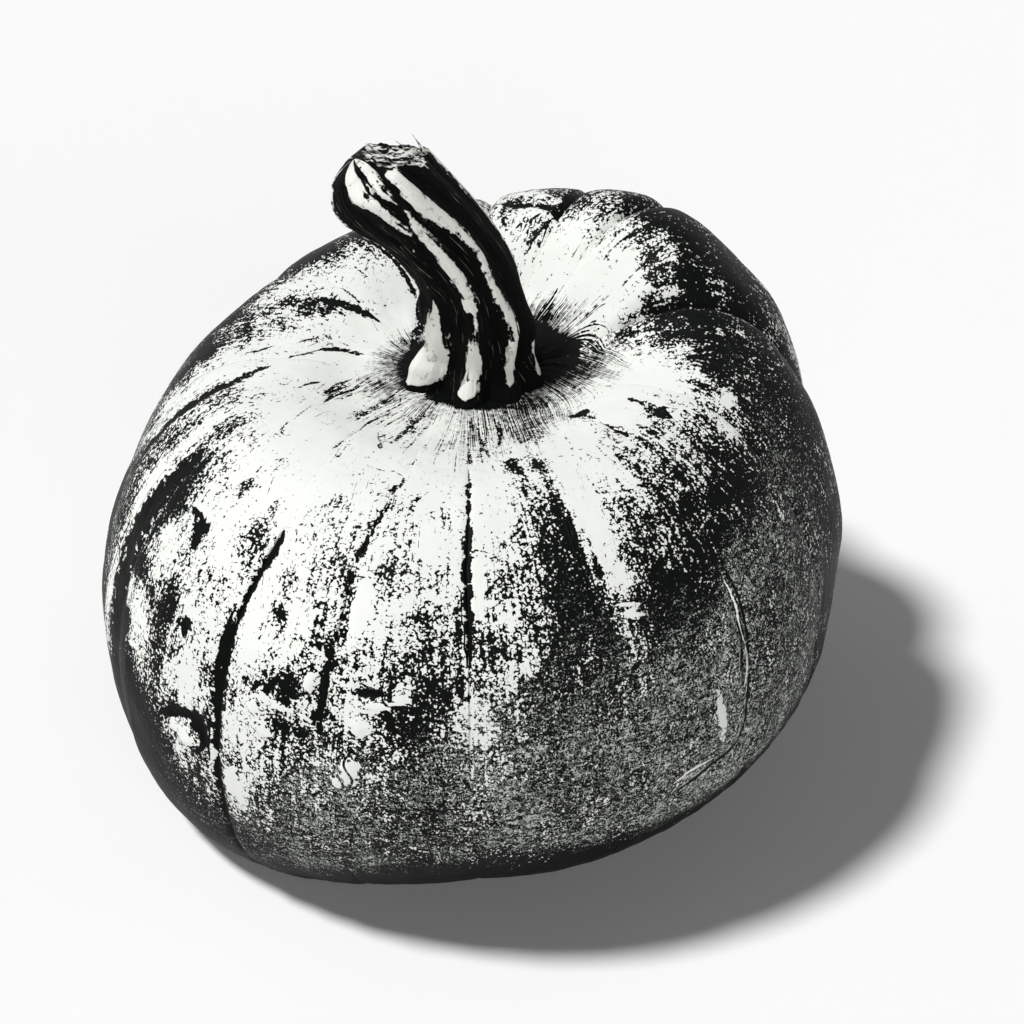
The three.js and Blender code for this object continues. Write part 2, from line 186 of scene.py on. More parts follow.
# tone, depth in mm, and the azimuths, shares and half widths in mm that each line runs through
STROKES = [
    (6, 0.9, [(-141, 0.4365, 0.8), (-139, 0.4305, 1.2), (-136.4, 0.4265, 0.9), (-134.2, 0.4235, 1.2),
        (-132.4, 0.4245, 1.9), (-131.8, 0.4315, 1.9), (-131.3, 0.4375, 0.8), (-132.2, 0.4445, 0.5),
        (-133.6, 0.4495, 0.4)]),
    (3.6, 0.3, [(-120.6, 0.385, 0.5), (-118.9, 0.372, 0.9)]),
    (3.6, 0.3, [(-118.4, 0.383, 0.9), (-116.4, 0.368, 0.6)]),
    (3.6, 0.3, [(-117.2, 0.39, 0.7), (-115.9, 0.376, 0.5)]),
    (3, 0.2, [(-123, 0.386, 0.6), (-121.5, 0.378, 0.5)]),
    (6, 0.9, [(-125.9, 0.283, 0.6), (-126.3, 0.3, 1.1), (-127.6, 0.32, 1.2), (-128.4, 0.345, 0.9),
        (-129, 0.37, 1.5), (-129.1, 0.4, 1.6), (-129, 0.44, 1.4), (-129.2, 0.5, 1.1), (-129.3, 0.54, 0.9)]),
    (3.5, 0.3, [(-129.8, 0.345, 0.5), (-130.4, 0.37, 0.5), (-130, 0.4, 0.6)]),
    (2.6, 0.3, [(-104.4, 0.213, 0.5), (-106.4, 0.226, 0.9), (-108, 0.229, 0.5)]),
    (2.4, 0.3, [(-106, 0.236, 0.6), (-107.2, 0.252, 0.8), (-108.4, 0.272, 0.9), (-109.6, 0.292, 1.2)]),
    (2, 0.5, [(-109.8, 0.295, 1), (-109.9, 0.31, 1.2), (-109.3, 0.33, 1.2), (-110.6, 0.345, 1.2)]),
    (2.2, 0.5, [(-110.6, 0.345, 1), (-111.1, 0.36, 1.3), (-111.2, 0.385, 1.2), (-111.8, 0.4, 0.8)]),
    (5, 0.5, [(-88.4, 0.194, 0.4), (-88.5, 0.225, 0.65), (-88.8, 0.26, 0.8), (-89.4, 0.29, 1),
        (-89.3, 0.315, 0.9), (-89.2, 0.352, 0.7)]),
    (1.1, 0.2, [(-91.2, 0.305, 0.5), (-91.4, 0.34, 1.2), (-90.8, 0.37, 1)]),
    # These two dark lines down the raised scar are its painted shade; its painted highlight is among the
    # pale lines below.
    (4.5, 0.4, [(-44.2, 0.336, 0.2), (-43.5, 0.36, 0.3), (-43.9, 0.384, 0.35), (-44.9, 0.404, 0.4),
        (-46.2, 0.422, 0.4), (-47.2, 0.44, 0.35), (-48.2, 0.452, 0.3), (-50.5, 0.4575, 0.35),
        (-55, 0.463, 0.4), (-60, 0.469, 0.3)]),
    (4, 0.3, [(-45.4, 0.342, 0.2), (-45, 0.364, 0.25), (-45.6, 0.388, 0.3), (-46.8, 0.406, 0.3)]),
    (4, 0.3, [(-169.5, 0.121, 0.2), (-164.5, 0.136, 0.55), (-161, 0.15, 0.6), (-157.9, 0.158, 0.2)]),
    (3.4, 0.2, [(-164.8, 0.122, 0.2), (-162.5, 0.13, 0.35), (-160.2, 0.142, 0.2)]),
    (3.4, 0.2, [(-171, 0.112, 0.2), (-168.5, 0.12, 0.35), (-166, 0.129, 0.2)]),
    (3, 0.2, [(-178, 0.119, 0.2), (-171, 0.138, 0.4), (-165, 0.153, 0.25)]),
    (3, 0.2, [(-173, 0.121, 0.2), (-168, 0.138, 0.4), (-164, 0.154, 0.25)]),
    (3, 0.2, [(-181, 0.098, 0.2), (-175, 0.109, 0.4), (-169, 0.122, 0.3)]),
    (3.4, 0.2, [(-156.5, 0.074, 0.2), (-151, 0.097, 0.25), (-147, 0.127, 0.25), (-143, 0.155, 0.2)]),
    (3.4, 0.2, [(-148.5, 0.074, 0.2), (-146, 0.11, 0.25), (-142.3, 0.138, 0.3), (-141.2, 0.149, 0.2)]),
    (3.4, 0.2, [(-151.5, 0.08, 0.15), (-148.2, 0.105, 0.3), (-144.6, 0.13, 0.35), (-142.4, 0.143, 0.2)]),
    (3.2, 0.2, [(-143.2, 0.076, 0.15), (-141.6, 0.1, 0.25), (-139.8, 0.122, 0.25)]),
    (3.2, 0.2, [(-136.4, 0.08, 0.15), (-135.6, 0.105, 0.25), (-134.4, 0.126, 0.2)]),
    (3.2, 0.2, [(-131.6, 0.078, 0.15), (-131, 0.11, 0.2), (-129.4, 0.136, 0.2)]),
    (2.6, 0.2, [(-152.5, 0.114, 0.15), (-149, 0.131, 0.25), (-146.6, 0.143, 0.2)]),
    (3.8, 0.3, [(-138.7, 0.1, 0.2), (-138.4, 0.118, 0.4), (-136.3, 0.14, 0.25), (-133, 0.158, 0.2),
        (-131.2, 0.175, 0.35), (-130.8, 0.199, 0.3)]),
    (2.2, 0.2, [(-133.6, 0.122, 0.2), (-133.1, 0.14, 0.2)]),
    (2.8, 0.1, [(-130, 0.135, 0.15), (-124, 0.157, 0.2)]),
    (2.8, 0.1, [(-125, 0.142, 0.2), (-121, 0.156, 0.25), (-118.4, 0.17, 0.2)]),
    (3.2, 0.2, [(-123.4, 0.156, 0.25), (-120, 0.168, 0.35), (-117.9, 0.177, 0.6)]),
    (2.6, 0.2, [(-121, 0.062, 0.5), (-120.8, 0.1, 0.5), (-119, 0.132, 0.5), (-117.2, 0.166, 0.3)]),
    (1.8, 0.1, [(-124.6, 0.08, 0.5), (-123.5, 0.112, 0.4)]),
    (2.2, 0.1, [(-118, 0.1, 0.3), (-115, 0.13, 0.4), (-112.5, 0.166, 0.3)]),
    (2, 0.1, [(-112.3, 0.08, 0.3), (-111.8, 0.125, 0.3), (-109.8, 0.18, 0.3)]),
    (3, 0.2, [(-106.2, 0.139, 0.3), (-104.8, 0.152, 0.5), (-103.4, 0.162, 0.2)]),
    (3, 0.2, [(-104.4, 0.183, 0.4), (-105.2, 0.194, 0.6)]),
    (3, 0.2, [(-99.4, 0.171, 0.5), (-98.2, 0.161, 0.6), (-97.2, 0.153, 0.4)]),
    (2.4, 0.1, [(-95.5, 0.13, 0.3), (-94.6, 0.186, 0.25)]),
    (2.6, 0.2, [(-88.7, 0.13, 0.3), (-88.2, 0.172, 0.5), (-87.2, 0.19, 0.8)]),
    (2.4, 0.2, [(-84.4, 0.082, 0.2), (-83.4, 0.11, 0.25), (-82.6, 0.148, 0.6), (-84.6, 0.165, 0.3)]),
    (2, 0.2, [(-81, 0.125, 0.4), (-82.2, 0.16, 0.4), (-81.9, 0.181, 0.4)]),
    (1.8, 0.1, [(-78.4, 0.1, 0.3), (-80.2, 0.128, 0.4)]),
    (3, 0.3, [(-70.4, 0.094, 0.4), (-73.4, 0.121, 0.5), (-76.6, 0.149, 0.4), (-78.6, 0.161, 0.3)]),
    (3, 0.2, [(-76.8, 0.167, 0.3), (-78.4, 0.175, 0.4)]),
    (3, 0.2, [(-73.4, 0.166, 0.3), (-75.4, 0.18, 0.4)]),
    (2.6, 0.2, [(-66.6, 0.135, 0.5), (-70.4, 0.168, 0.4)]),
    (2, 0.2, [(-60, 0.14, 1), (-63, 0.157, 1.5), (-65.4, 0.18, 0.6)]),
    (2.2, 0.1, [(-55.2, 0.175, 0.4), (-58.2, 0.202, 0.4)]),
    (3.4, 0.3, [(-43.4, 0.186, 0.5), (-43.8, 0.205, 0.6), (-43, 0.22, 0.9)]),
    (3.6, 0.2, [(-45, 0.148, 0.9), (-42.6, 0.158, 1.5), (-40, 0.166, 0.8)]),
    (3.4, 0.3, [(-30.6, 0.19, 0.4), (-30.8, 0.205, 0.6), (-31.6, 0.22, 1.6), (-31.4, 0.235, 1.2)]),
    (3.6, 0.3, [(-127.2, 0.202, 0.5), (-126.3, 0.206, 0.8)]),
    (2.4, 0.1, [(-128, 0.18, 0.2), (-127.2, 0.196, 0.3)]),
    (2.4, 0.1, [(-101.2, 0.236, 0.5), (-99.4, 0.231, 0.5)]),
    (3, 0.1, [(-116.5, 0.206, 0.12), (-112, 0.208, 0.18), (-109, 0.206, 0.15), (-105, 0.212, 0.15)]),
    (3.6, 0.2, [(-172.5, 0.155, 0.5), (-171, 0.163, 0.5), (-169.6, 0.172, 0.5), (-168.2, 0.178, 0.3)]),
    (3.4, 0.4, [(160.6, 0.117, 0.6), (161.6, 0.135, 0.9), (164.2, 0.152, 0.6), (167, 0.163, 0.3),
        (170.2, 0.172, 0.3), (173.2, 0.19, 0.25)]),
    (2.6, 0.1, [(161.2, 0.172, 0.4), (163, 0.179, 0.4), (165.2, 0.186, 0.2)]),
    (2.8, 0.1, [(167, 0.207, 0.2), (169.6, 0.22, 0.3), (170, 0.232, 0.15)]),
    (2.6, 0.1, [(-162.5, 0.172, 0.2), (-159, 0.182, 0.2)]),
    (2.8, 0.1, [(-156, 0.171, 0.3), (-153, 0.185, 0.2), (-150.2, 0.198, 0.15)]),
    (2.8, 0.1, [(-150.3, 0.202, 0.2), (-148, 0.215, 0.3), (-145.6, 0.216, 0.15), (-143.4, 0.21, 0.2)]),
    (3.6, 0.3, [(-182.4, 0.203, 0.5), (-180, 0.22, 0.9), (-177.6, 0.243, 1.3), (-176.6, 0.27, 1.2),
        (-176.4, 0.31, 1.2), (-175, 0.35, 1.4)]),
    (3.4, 0.3, [(142, 0.072, 0.9), (121, 0.094, 1.4), (114.8, 0.13, 0.6), (115.6, 0.166, 0.5),
        (118.2, 0.206, 0.4), (120, 0.24, 0.3)]),
    (4, 0.3, [(145, 0.198, 0.9), (141.2, 0.174, 1.4), (138.9, 0.15, 1.2), (137, 0.13, 0.5)]),
    (3.6, 0.5, [(-158.6, 0.272, 1), (-159.2, 0.3, 2.7), (-160.2, 0.33, 3.6), (-160.4, 0.37, 4.4),
        (-158.6, 0.41, 4.6), (-158, 0.46, 5), (-156, 0.52, 5)]),
    (2.6, 0.1, [(66.5, 0.16, 0.2), (65, 0.182, 0.3), (63.4, 0.202, 0.3)]),
    (2.6, 0.1, [(62.6, 0.168, 0.2), (62, 0.192, 0.4)]),
    (2.6, 0.1, [(70.8, 0.175, 0.2), (69.6, 0.19, 0.4), (66.4, 0.202, 0.3)]),
    (2.6, 0.1, [(73.4, 0.183, 0.2), (71.6, 0.192, 0.3)]),
    (2.6, 0.1, [(76.8, 0.188, 0.2), (78.2, 0.2, 0.25)]),
    (2.2, 0.1, [(30.6, 0.178, 0.2), (33, 0.176, 0.2), (32.4, 0.198, 0.3), (31.4, 0.21, 0.3)]),
    (2.2, 0.1, [(37.4, 0.182, 0.2), (37.8, 0.194, 0.2)]),
    (2.2, 0.1, [(19.6, 0.172, 0.2), (21.2, 0.196, 0.2), (23, 0.22, 0.3)]),
]

# The same for pale raised lines, without a tone. The first and the last are painted highlights along
# the lit edge of the raised scar beside its dark lines.
PALE_LINES_AND_HIGHLIGHTS = [
    (0.3, [(-44.6, 0.345, 0.1), (-44.4, 0.365, 0.15), (-44.9, 0.388, 0.25), (-45.8, 0.405, 0.3),
        (-46.9, 0.415, 0.2)]),
    (0.2, [(-61, 0.334, 0.3), (-65, 0.33, 0.3)]), (0.2, [(-60.8, 0.341, 0.3), (-64, 0.338, 0.3)]),
    (0.2, [(-53, 0.454, 0.15), (-57, 0.453, 0.25), (-60, 0.458, 0.15)]),
]

# azimuth, along at which half of the rind is dark, and tone gained per share of the meridian above and
# below that. Besides the rind's own pale cap, the table paints light: the cap reaches lowest on the lit
# front-left and stops highest on the shaded right.
WATERLINES = [
    (-178, 0.335, 12, 25), (-172, 0.34, 10, 20), (-165, 0.385, 6, 30), (-155, 0.398, 7, 60),
    (-148, 0.407, 8, 55), (-142, 0.432, 12, 45), (-135, 0.45, 10, 45), (-125, 0.474, 9, 38),
    (-119, 0.42, 9, 24), (-113, 0.4, 9, 20), (-105, 0.408, 8, 28), (-95, 0.35, 12, 18),
    (-88, 0.365, 10, 16), (-82, 0.335, 10, 16), (-75, 0.272, 13, 20), (-70, 0.26, 16, 24),
    (-65, 0.3, 14, 24), (-60, 0.29, 24, 30), (-55, 0.283, 32, 32), (-45, 0.258, 22, 32),
    (-35, 0.258, 22, 45), (-28, 0.262, 26, 38), (-20, 0.262, 30, 34), (-15, 0.25, 28, 32),
    (-10, 0.222, 32, 34), (-7, 0.208, 26, 40), (0, 0.184, 26, 60), (8, 0.178, 28, 60), (12, 0.198, 40, 45),
    (20, 0.215, 55, 45), (27, 0.219, 60, 55), (33, 0.215, 70, 110), (40, 0.214, 70, 110),
    (45, 0.215, 40, 14), (55, 0.212, 50, 40), (65, 0.222, 20, 16), (80, 0.255, 16, 18), (100, 0.25, 18, 20),
    (112, 0.2, 20, 24), (120, 0.225, 30, 32), (130, 0.238, 34, 40), (138, 0.25, 32, 40),
    (146, 0.265, 30, 34), (155, 0.262, 13, 20), (165, 0.275, 16, 18), (175, 0.355, 24, 20),
]
PALEST = -2.3
DARKEST = 1.7
UNDERSIDE_SHADE_TONE, UNDERSIDE_SHADE_SPAN = 2, (0.48, 0.53)  # painted shade: how much darker the rind is towards the flat spot

# The sides that the picture does not show are guessed: pale ribs between darker grooves. Azimuths over
# which the guess takes over and ends, shares over which it does, its tones, and how it darkens downwards.
UNSEEN_START, UNSEEN_STOP, UNSEEN_FROM = (2, 26), (150, 178), (0.3, 0.37)
UNSEEN_GROOVE, UNSEEN_RIB = 1.5, -1.0
UNSEEN_SLOPE, UNSEEN_HALF = 13, 0.42
UNSEEN_BLOTCHES = [(1.2, 1 / 15, 31)]  # a layer of noise as above, but its height is a tone
# Their grooves are drawn as lines: azimuth, and the shares at which each starts and ends
UNSEEN_LINES = [
    (10, 0.34, 0.5), (43, 0.31, 0.53), (60, 0.3, 0.49), (84, 0.29, 0.54), (110, 0.32, 0.5),
    (136, 0.3, 0.53), (174, 0.37, 0.5),
]
UNSEEN_TONE, UNSEEN_DEPTH = 5, 0.4
# How such a line runs: turn from its azimuth, share of its length, and half width in mm
UNSEEN_COURSE = [(0, 0, 0.3), (0.6, 1 / 3, 0.9), (-0.4, 1, 0.5)]

# azimuth, along, half width in degrees, half height as a share, and tone of each patch. Besides the
# mottling, they paint shade: the rind is darker towards its outline at the limbs.
PATCHES = [
    # left of the front
    (-170.5, 0.31, 3, 0.04, 1.2), (-165, 0.327, 2.8, 0.026, -2), (-169, 0.372, 2.5, 0.02, 1.8),
    (-164, 0.42, 2.5, 0.03, -1.6), (-155, 0.285, 2.6, 0.02, 2.8), (-153.6, 0.315, 3.2, 0.013, 3.2),
    (-155, 0.34, 1.8, 0.014, 1.6), (-155, 0.367, 2.4, 0.01, 3.4), (-152.5, 0.387, 4, 0.011, -1.6),
    (-150.5, 0.335, 3.2, 0.02, -1.4), (-155, 0.41, 2.6, 0.012, 2.4), (-148, 0.4, 3.2, 0.016, -1),
    (-144, 0.375, 2, 0.03, 2.4), (-149, 0.37, 2, 0.008, 1.8), (-141, 0.268, 2.4, 0.011, 2),
    (-150, 0.475, 7, 0.032, 1.8), (-137.5, 0.462, 2.6, 0.011, -1.2), (-143, 0.41, 1.6, 0.015, 1.4),
    (-160, 0.25, 2.6, 0.02, 1), (-158.5, 0.232, 1.2, 0.01, 1.2), (-170, 0.247, 3, 0.02, 0.8),
    # between the front's two drawn grooves
    (-131, 0.29, 1.8, 0.02, 2), (-125, 0.345, 2, 0.05, -1.4), (-123, 0.428, 3.5, 0.026, -0.8),
    (-125.6, 0.457, 1.6, 0.018, -2.2), (-121.6, 0.335, 1.8, 0.006, 2), (-113, 0.3, 3.5, 0.03, 1),
    (-113.6, 0.345, 2.6, 0.016, 1.3), (-119.5, 0.356, 4, 0.01, -0.8), (-117, 0.4, 4, 0.012, 1.2),
    (-119, 0.375, 3.6, 0.012, 1), (-136, 0.4, 3, 0.014, -0.8), (-131.8, 0.38, 0.7, 0.02, 1.4),
    # either side of the front's middle
    (-106.8, 0.315, 1.4, 0.018, -2.2), (-103.2, 0.325, 2.8, 0.011, -1.4), (-96.5, 0.345, 2.2, 0.028, 1),
    (-99, 0.385, 5, 0.014, 0.8), (-102, 0.29, 3, 0.014, 0.9), (-107, 0.385, 1.6, 0.012, -1.2),
    (-87, 0.305, 1.3, 0.028, -2.4), (-83, 0.322, 1.6, 0.012, -1.6), (-84.5, 0.24, 5, 0.045, -1.4),
    (-79.8, 0.267, 1.4, 0.009, 2), (-76.4, 0.2, 2, 0.01, 3.4), (-74.6, 0.21, 1.4, 0.014, 1.8),
    (-69.6, 0.205, 2.2, 0.008, 4.2), (-69.2, 0.27, 1.3, 0.03, 1.8), (-66.4, 0.302, 1, 0.008, 2.4),
    (-74, 0.245, 3.4, 0.02, 0.8), (-64.2, 0.25, 2.6, 0.05, -3.4), (-62.4, 0.313, 1.8, 0.01, -2.4),
    (-62.4, 0.339, 1.8, 0.004, -2.4), (-85, 0.357, 3.4, 0.008, -1), (-87.4, 0.39, 2, 0.012, -1.8),
    (-86, 0.42, 2.6, 0.01, -1), (-56, 0.355, 4, 0.022, 1), (-72, 0.335, 5, 0.018, 0.5),
    (-80, 0.355, 2, 0.01, -0.8),
    # right of the front
    (-38, 0.19, 5, 0.03, -1.4), (-21, 0.19, 8, 0.04, -2), (-37, 0.231, 3.4, 0.009, 1.6),
    (-42, 0.238, 2, 0.012, 1.4), (-25, 0.285, 1.8, 0.014, -2.4), (-18, 0.268, 2.4, 0.006, -2.8),
    (-18.2, 0.238, 1.2, 0.01, 2.8), (-13, 0.245, 2, 0.018, 2), (-40, 0.262, 1.2, 0.006, -1.6),
    (12.6, 0.192, 1.6, 0.007, 2.2), (17, 0.2, 2, 0.005, 1), (21.6, 0.205, 1.4, 0.012, 1.6),
    (13, 0.215, 1.6, 0.008, -1.4), (18, 0.222, 3, 0.008, -0.8), (-6.5, 0.22, 2.4, 0.018, -1.2),
    (47, 0.24, 4, 0.03, 0.6), (51, 0.235, 2.6, 0.02, -1.6), (63, 0.24, 1.2, 0.025, 2.2),
    (76, 0.225, 4, 0.012, 1), (5, 0.163, 4, 0.014, 1.2), (-4.5, 0.214, 3, 0.01, 1),
    (26, 0.206, 2.6, 0.007, 1.8), (17, 0.212, 2.2, 0.012, 0.8), (12.5, 0.19, 1.4, 0.008, 1),
    (14, 0.272, 2.6, 0.014, -1.8), (7, 0.268, 4, 0.012, -1.2),
    # where the drawing is paler or darker than the tables above
    (-148, 0.178, 26, 0.045, -1), (-103, 0.175, 7, 0.04, -0.8), (-176.5, 0.368, 3.5, 0.022, 5),
    (-95.5, 0.262, 3, 0.02, -1.2), (-25, 0.265, 3, 0.01, -0.8), (-84, 0.335, 4, 0.025, 0.8),
    (-125, 0.438, 3, 0.012, 1.2), (165, 0.306, 4, 0.026, 3.2), (-75, 0.18, 5, 0.04, -1),
    (-75, 0.237, 3, 0.01, -0.8), (-25, 0.062, 3, 0.01, -1), (-15, 0.435, 4, 0.02, 1.4),
    (-55, 0.388, 3, 0.012, 1.4), (-5, 0.163, 4, 0.012, -0.6), (-176, 0.338, 3, 0.01, 0.8),
    (-106, 0.312, 3, 0.012, 0.6), (-128, 0.388, 3, 0.012, 0.6), (-43.5, 0.163, 3.4, 0.012, 3.4),
    (24, 0.285, 5, 0.01, 0.8), (137, 0.088, 4, 0.01, 2.4), (145, 0.19, 3, 0.02, 1.2),
    (-84, 0.165, 3, 0.012, 0.9), (-44, 0.24, 3, 0.012, -0.9), (-35, 0.212, 3, 0.012, -1.2),
    (-15, 0.237, 3, 0.012, -0.9), (15, 0.187, 5, 0.012, -1.2), (25, 0.188, 3, 0.01, -1.2),
    (-125, 0.287, 2.6, 0.014, 0.8), (-115, 0.328, 3.2, 0.025, -1.2), (-165, 0.438, 3, 0.014, -1.2),
    (-135, 0.4, 2.6, 0.025, -1.1), (-65, 0.362, 3, 0.016, -0.9), (-45, 0.39, 3, 0.03, -0.6),
    (-85, 0.388, 3, 0.012, 0.8), (-95, 0.2, 5, 0.07, -0.9), (-105, 0.15, 5, 0.05, -0.8),
    (-95, 0.28, 3, 0.014, -1), (155, 0.237, 4, 0.014, -1.6), (155, 0.185, 4, 0.022, -1.2),
    (145, 0.24, 3, 0.01, -1.2), (75, 0.237, 4, 0.01, -2.2), (175, 0.312, 4, 0.014, -2),
    (5, 0.138, 4, 0.01, -0.8), (131, 0.263, 7, 0.014, 1.5), (-155, 0.463, 4, 0.014, 3),
    (-146, 0.475, 5, 0.03, 2.4), (-156, 0.412, 3, 0.012, 1.2), (45, 0.263, 4, 0.012, -1.2),
    (15, 0.285, 5, 0.012, 1.4), (-45, 0.287, 4, 0.012, 1), (135, 0.165, 3, 0.01, 0.9),
    (-175, 0.25, 3, 0.02, 1.2), (-165, 0.26, 2.5, 0.02, -0.8), (-125, 0.395, 2, 0.014, 0.9),
    (-115, 0.235, 3, 0.016, -0.9), (-5, 0.188, 3, 0.01, 0.7),
    # the left shoulder and limb, darker towards the outline as painted shade
    (136, 0.172, 0.9, 0.014, 4), (145, 0.178, 5, 0.01, 2.9), (149, 0.2, 5, 0.012, 2.6),
    (148, 0.222, 2.6, 0.007, 2.2), (154, 0.236, 2.2, 0.006, 2.6), (157, 0.246, 3, 0.007, 2.4),
    (161, 0.25, 2.6, 0.012, 1.6), (157, 0.292, 9, 0.02, 1.6), (167, 0.24, 2.4, 0.007, 1.4),
    (128, 0.24, 3, 0.016, 1.6), (166, 0.27, 3, 0.014, 1.6), (112, 0.3, 5, 0.05, -1.2),
    (98, 0.22, 4, 0.05, 0.8),
]

# The blossom end: a pale button with a small dark star at its centre
BUTTON_TONE, BUTTON_EDGE = -1.0, (0.79, 0.83)
STAR_TONE, STAR_EDGE = 3, (0.965, 1.0)

# azimuth, the share out to which the rind is all dark, the tone of the fine lines just beyond, and the
# share at which they have gone. The dark ring is painted shade where the stem meets the rind, wider on
# the right, where it paints the stem's shadow; the fine lines paint shade over the pit's slope.
PIT_SHADE_REACH = [
    (-180, 0.067, 0.5, 0.12), (-165, 0.066, 0.9, 0.12), (-155, 0.051, -0.2, 0.12),
    (-145, 0.049, -0.7, 0.14), (-135, 0.055, -0.3, 0.125), (-125, 0.055, 0.1, 0.115),
    (-115, 0.054, -0.3, 0.14), (-105, 0.055, -1.5, 0.13), (-95, 0.059, -0.3, 0.23),
    (-90, 0.057, -0.4, 0.24), (-85, 0.057, -0.7, 0.23), (-75, 0.062, -0.1, 0.17), (-65, 0.068, 0.7, 0.2),
    (-55, 0.067, 1.2, 0.18), (-45, 0.064, 1.3, 0.18), (-35, 0.067, 1, 0.165), (-25, 0.072, 0.7, 0.175),
    (-15, 0.082, 2, 0.18), (-9, 0.1, 1.6, 0.175), (-5, 0.11, 1, 0.185), (0, 0.116, 0.6, 0.18),
    (5, 0.117, 0.2, 0.17), (15, 0.122, 0.2, 0.18), (25, 0.108, 0.5, 0.155), (35, 0.104, 0.8, 0.142),
    (45, 0.1, 2.2, 0.15), (55, 0.09, -0.6, 0.13), (80, 0.07, -0.5, 0.12), (110, 0.07, -0.5, 0.12),
    (135, 0.075, -0.3, 0.11), (150, 0.072, 0.3, 0.115), (165, 0.07, 0.4, 0.115),
]
PIT_SHADE_NONE = -2.8
PIT_RING_SHADE_TONE, PIT_RING_SHADE_EDGE = 3.2, 0.006  # how dark that ring of painted shade is, and over how long a share it ends
# azimuth, and by how many degrees per share those lines turn as they run outwards
HATCH_SLANT = [
    (-180, 420), (-165, 300), (-150, 150), (-135, 140), (-120, 110), (-110, 80), (-99, 10), (-88, 0),
    (-80, -50), (-70, -110), (-60, -170), (-50, -320), (-40, -360), (-25, -300), (-10, -420), (2, -380),
    (12, -160), (20, -40), (32, 0), (45, 0), (90, 0), (135, -200), (160, 0),
]
SLANT_FROM = 0.1  # the share at which each is at its own azimuth

# azimuth; the shares between which grey flecks come up over the dark rind; the share where they end;
# and their tone at their fullest
FLECKS = [
    (-178, 0.26, 0.3, 0.36, -0.6), (-168, 0.36, 0.38, 0.42, -0.6), (-160, 0.38, 0.4, 0.43, -2.6),
    (-150, 0.42, 0.46, 0.52, -2.6), (-140, 0.45, 0.47, 0.53, -1.6), (-125, 0.44, 0.48, 0.545, -1),
    (-112, 0.39, 0.42, 0.522, -0.2), (-100, 0.38, 0.42, 0.5, -0.6), (-88, 0.34, 0.38, 0.49, -0.2),
    (-78, 0.28, 0.4, 0.49, -0.2), (-70, 0.24, 0.4, 0.495, -0.2), (-60, 0.29, 0.38, 0.505, -0.1),
    (-50, 0.33, 0.37, 0.505, 0.2), (-40, 0.3, 0.34, 0.5, -0.4), (-30, 0.3, 0.34, 0.48, -0.4),
    (-23, 0.28, 0.32, 0.465, -0.8), (-17, 0.27, 0.31, 0.385, -0.9), (-8, 0.22, 0.26, 0.36, -2),
    (15, 0.24, 0.28, 0.5, -2.3), (60, 0.26, 0.3, 0.5, -1.8), (110, 0.28, 0.32, 0.5, -1.8),
    (150, 0.28, 0.32, 0.48, -1.2),
]
FLECKS_NONE = -3.2
FLECKS_FADE = 0.03  # over how long a share they end


# ---- Small helpers ----

def share_of(start, end, x):
    """How far x has come from start to end, from 0 to 1."""
    return np.clip((x - start) / (end - start), 0, 1)


def ramp(span, x):
    """How far x has come through a span, eased at both ends."""
    share = share_of(*span, x)
    return share * share * (3 - 2 * share)


def fade(edge, width, x):
    """1 before an edge of that width, 0 after it."""
    return np.clip((edge - x) / width + 0.5, 0, 1)


def bell(distance, width):
    return np.exp(-((distance / width) ** 2))


def turn_between(a, b):
    """The turn in degrees from azimuth b to azimuth a, from -180 to 180."""
    return (a - b + 180) % 360 - 180


def mounds(azimuth, along, table):
    """The sum of soft mounds: the place, the width, the height as a share, and what each adds."""
    return sum(
        much * bell(turn_between(azimuth, at), wide) * bell(along - share, tall)
        for at, share, wide, tall, much in table
    )


def round_table(table, azimuth):
    """The columns of a table whose rows start with their azimuths, each read at any azimuth."""
    at, *columns = np.array(table, float).T
    return [np.interp(azimuth, at, column, period=360) for column in columns]


def spline(points, share):
    """The uniform Catmull-Rom curve through the points, at a share of its length in points."""
    points = np.array(points, float)
    last = len(points) - 1
    position = last * np.asarray(share, float)
    i = np.clip(np.floor(position).astype(int), 0, last - 1)
    w = (position - i)[..., None]
    before, start = points[np.maximum(i - 1, 0)], points[i]
    end, after = points[i + 1], points[np.minimum(i + 2, last)]
    v0, v1 = (end - before) / 2, (after - start) / 2
    return (
        (2 * start - 2 * end + v0 + v1) * w**3
        + (-3 * start + 3 * end - 2 * v0 - v1) * w**2
        + v0 * w
        + start
    )


def unit(vectors):
    """The vectors at a length of 1."""
    shortest = 1e-12
    return vectors / np.maximum(np.linalg.norm(vectors, axis=-1, keepdims=True), shortest)


def direction(points, share):
    """The unit tangent of that curve."""
    step = 1e-4
    ahead = spline(points, np.minimum(np.asarray(share) + step, 1))
    behind = spline(points, np.maximum(np.asarray(share) - step, 0))
    return unit(ahead - behind)


# What turns a corner of the noise's grid and a seed into a value: any large odd numbers do.
CORNER_FACTORS, SEED_FACTOR, MIX_FACTOR = (374761393, 668265263, 974634777), 362437, 1274126177


def noise(points, seed):
    """Smooth noise from -1 to 1 whose features are about one unit across."""
    cell = np.floor(points).astype(np.int64)
    share = points - cell
    share = share**3 * (share * (share * 6 - 15) + 10)
    total = np.zeros(points.shape[:-1])
    for corner in np.ndindex(2, 2, 2):
        at = cell + corner
        key = sum(at[..., k] * factor for k, factor in enumerate(CORNER_FACTORS))
        key = (key + seed * SEED_FACTOR) & 0xFFFFFFFF
        key = ((key ^ (key >> 13)) * MIX_FACTOR) & 0xFFFFFFFF
        value = ((key ^ (key >> 16)) & 0xFFFF) / (0xFFFF / 2) - 1
        total += value * np.prod(np.where(corner, share, 1 - share), axis=-1)
    return total


def noises(points, layers):
    """The sum of layers of noise: the height, the features per unit and the seed of each."""
    return sum(height * noise(points * fineness, seed) for height, fineness, seed in layers)


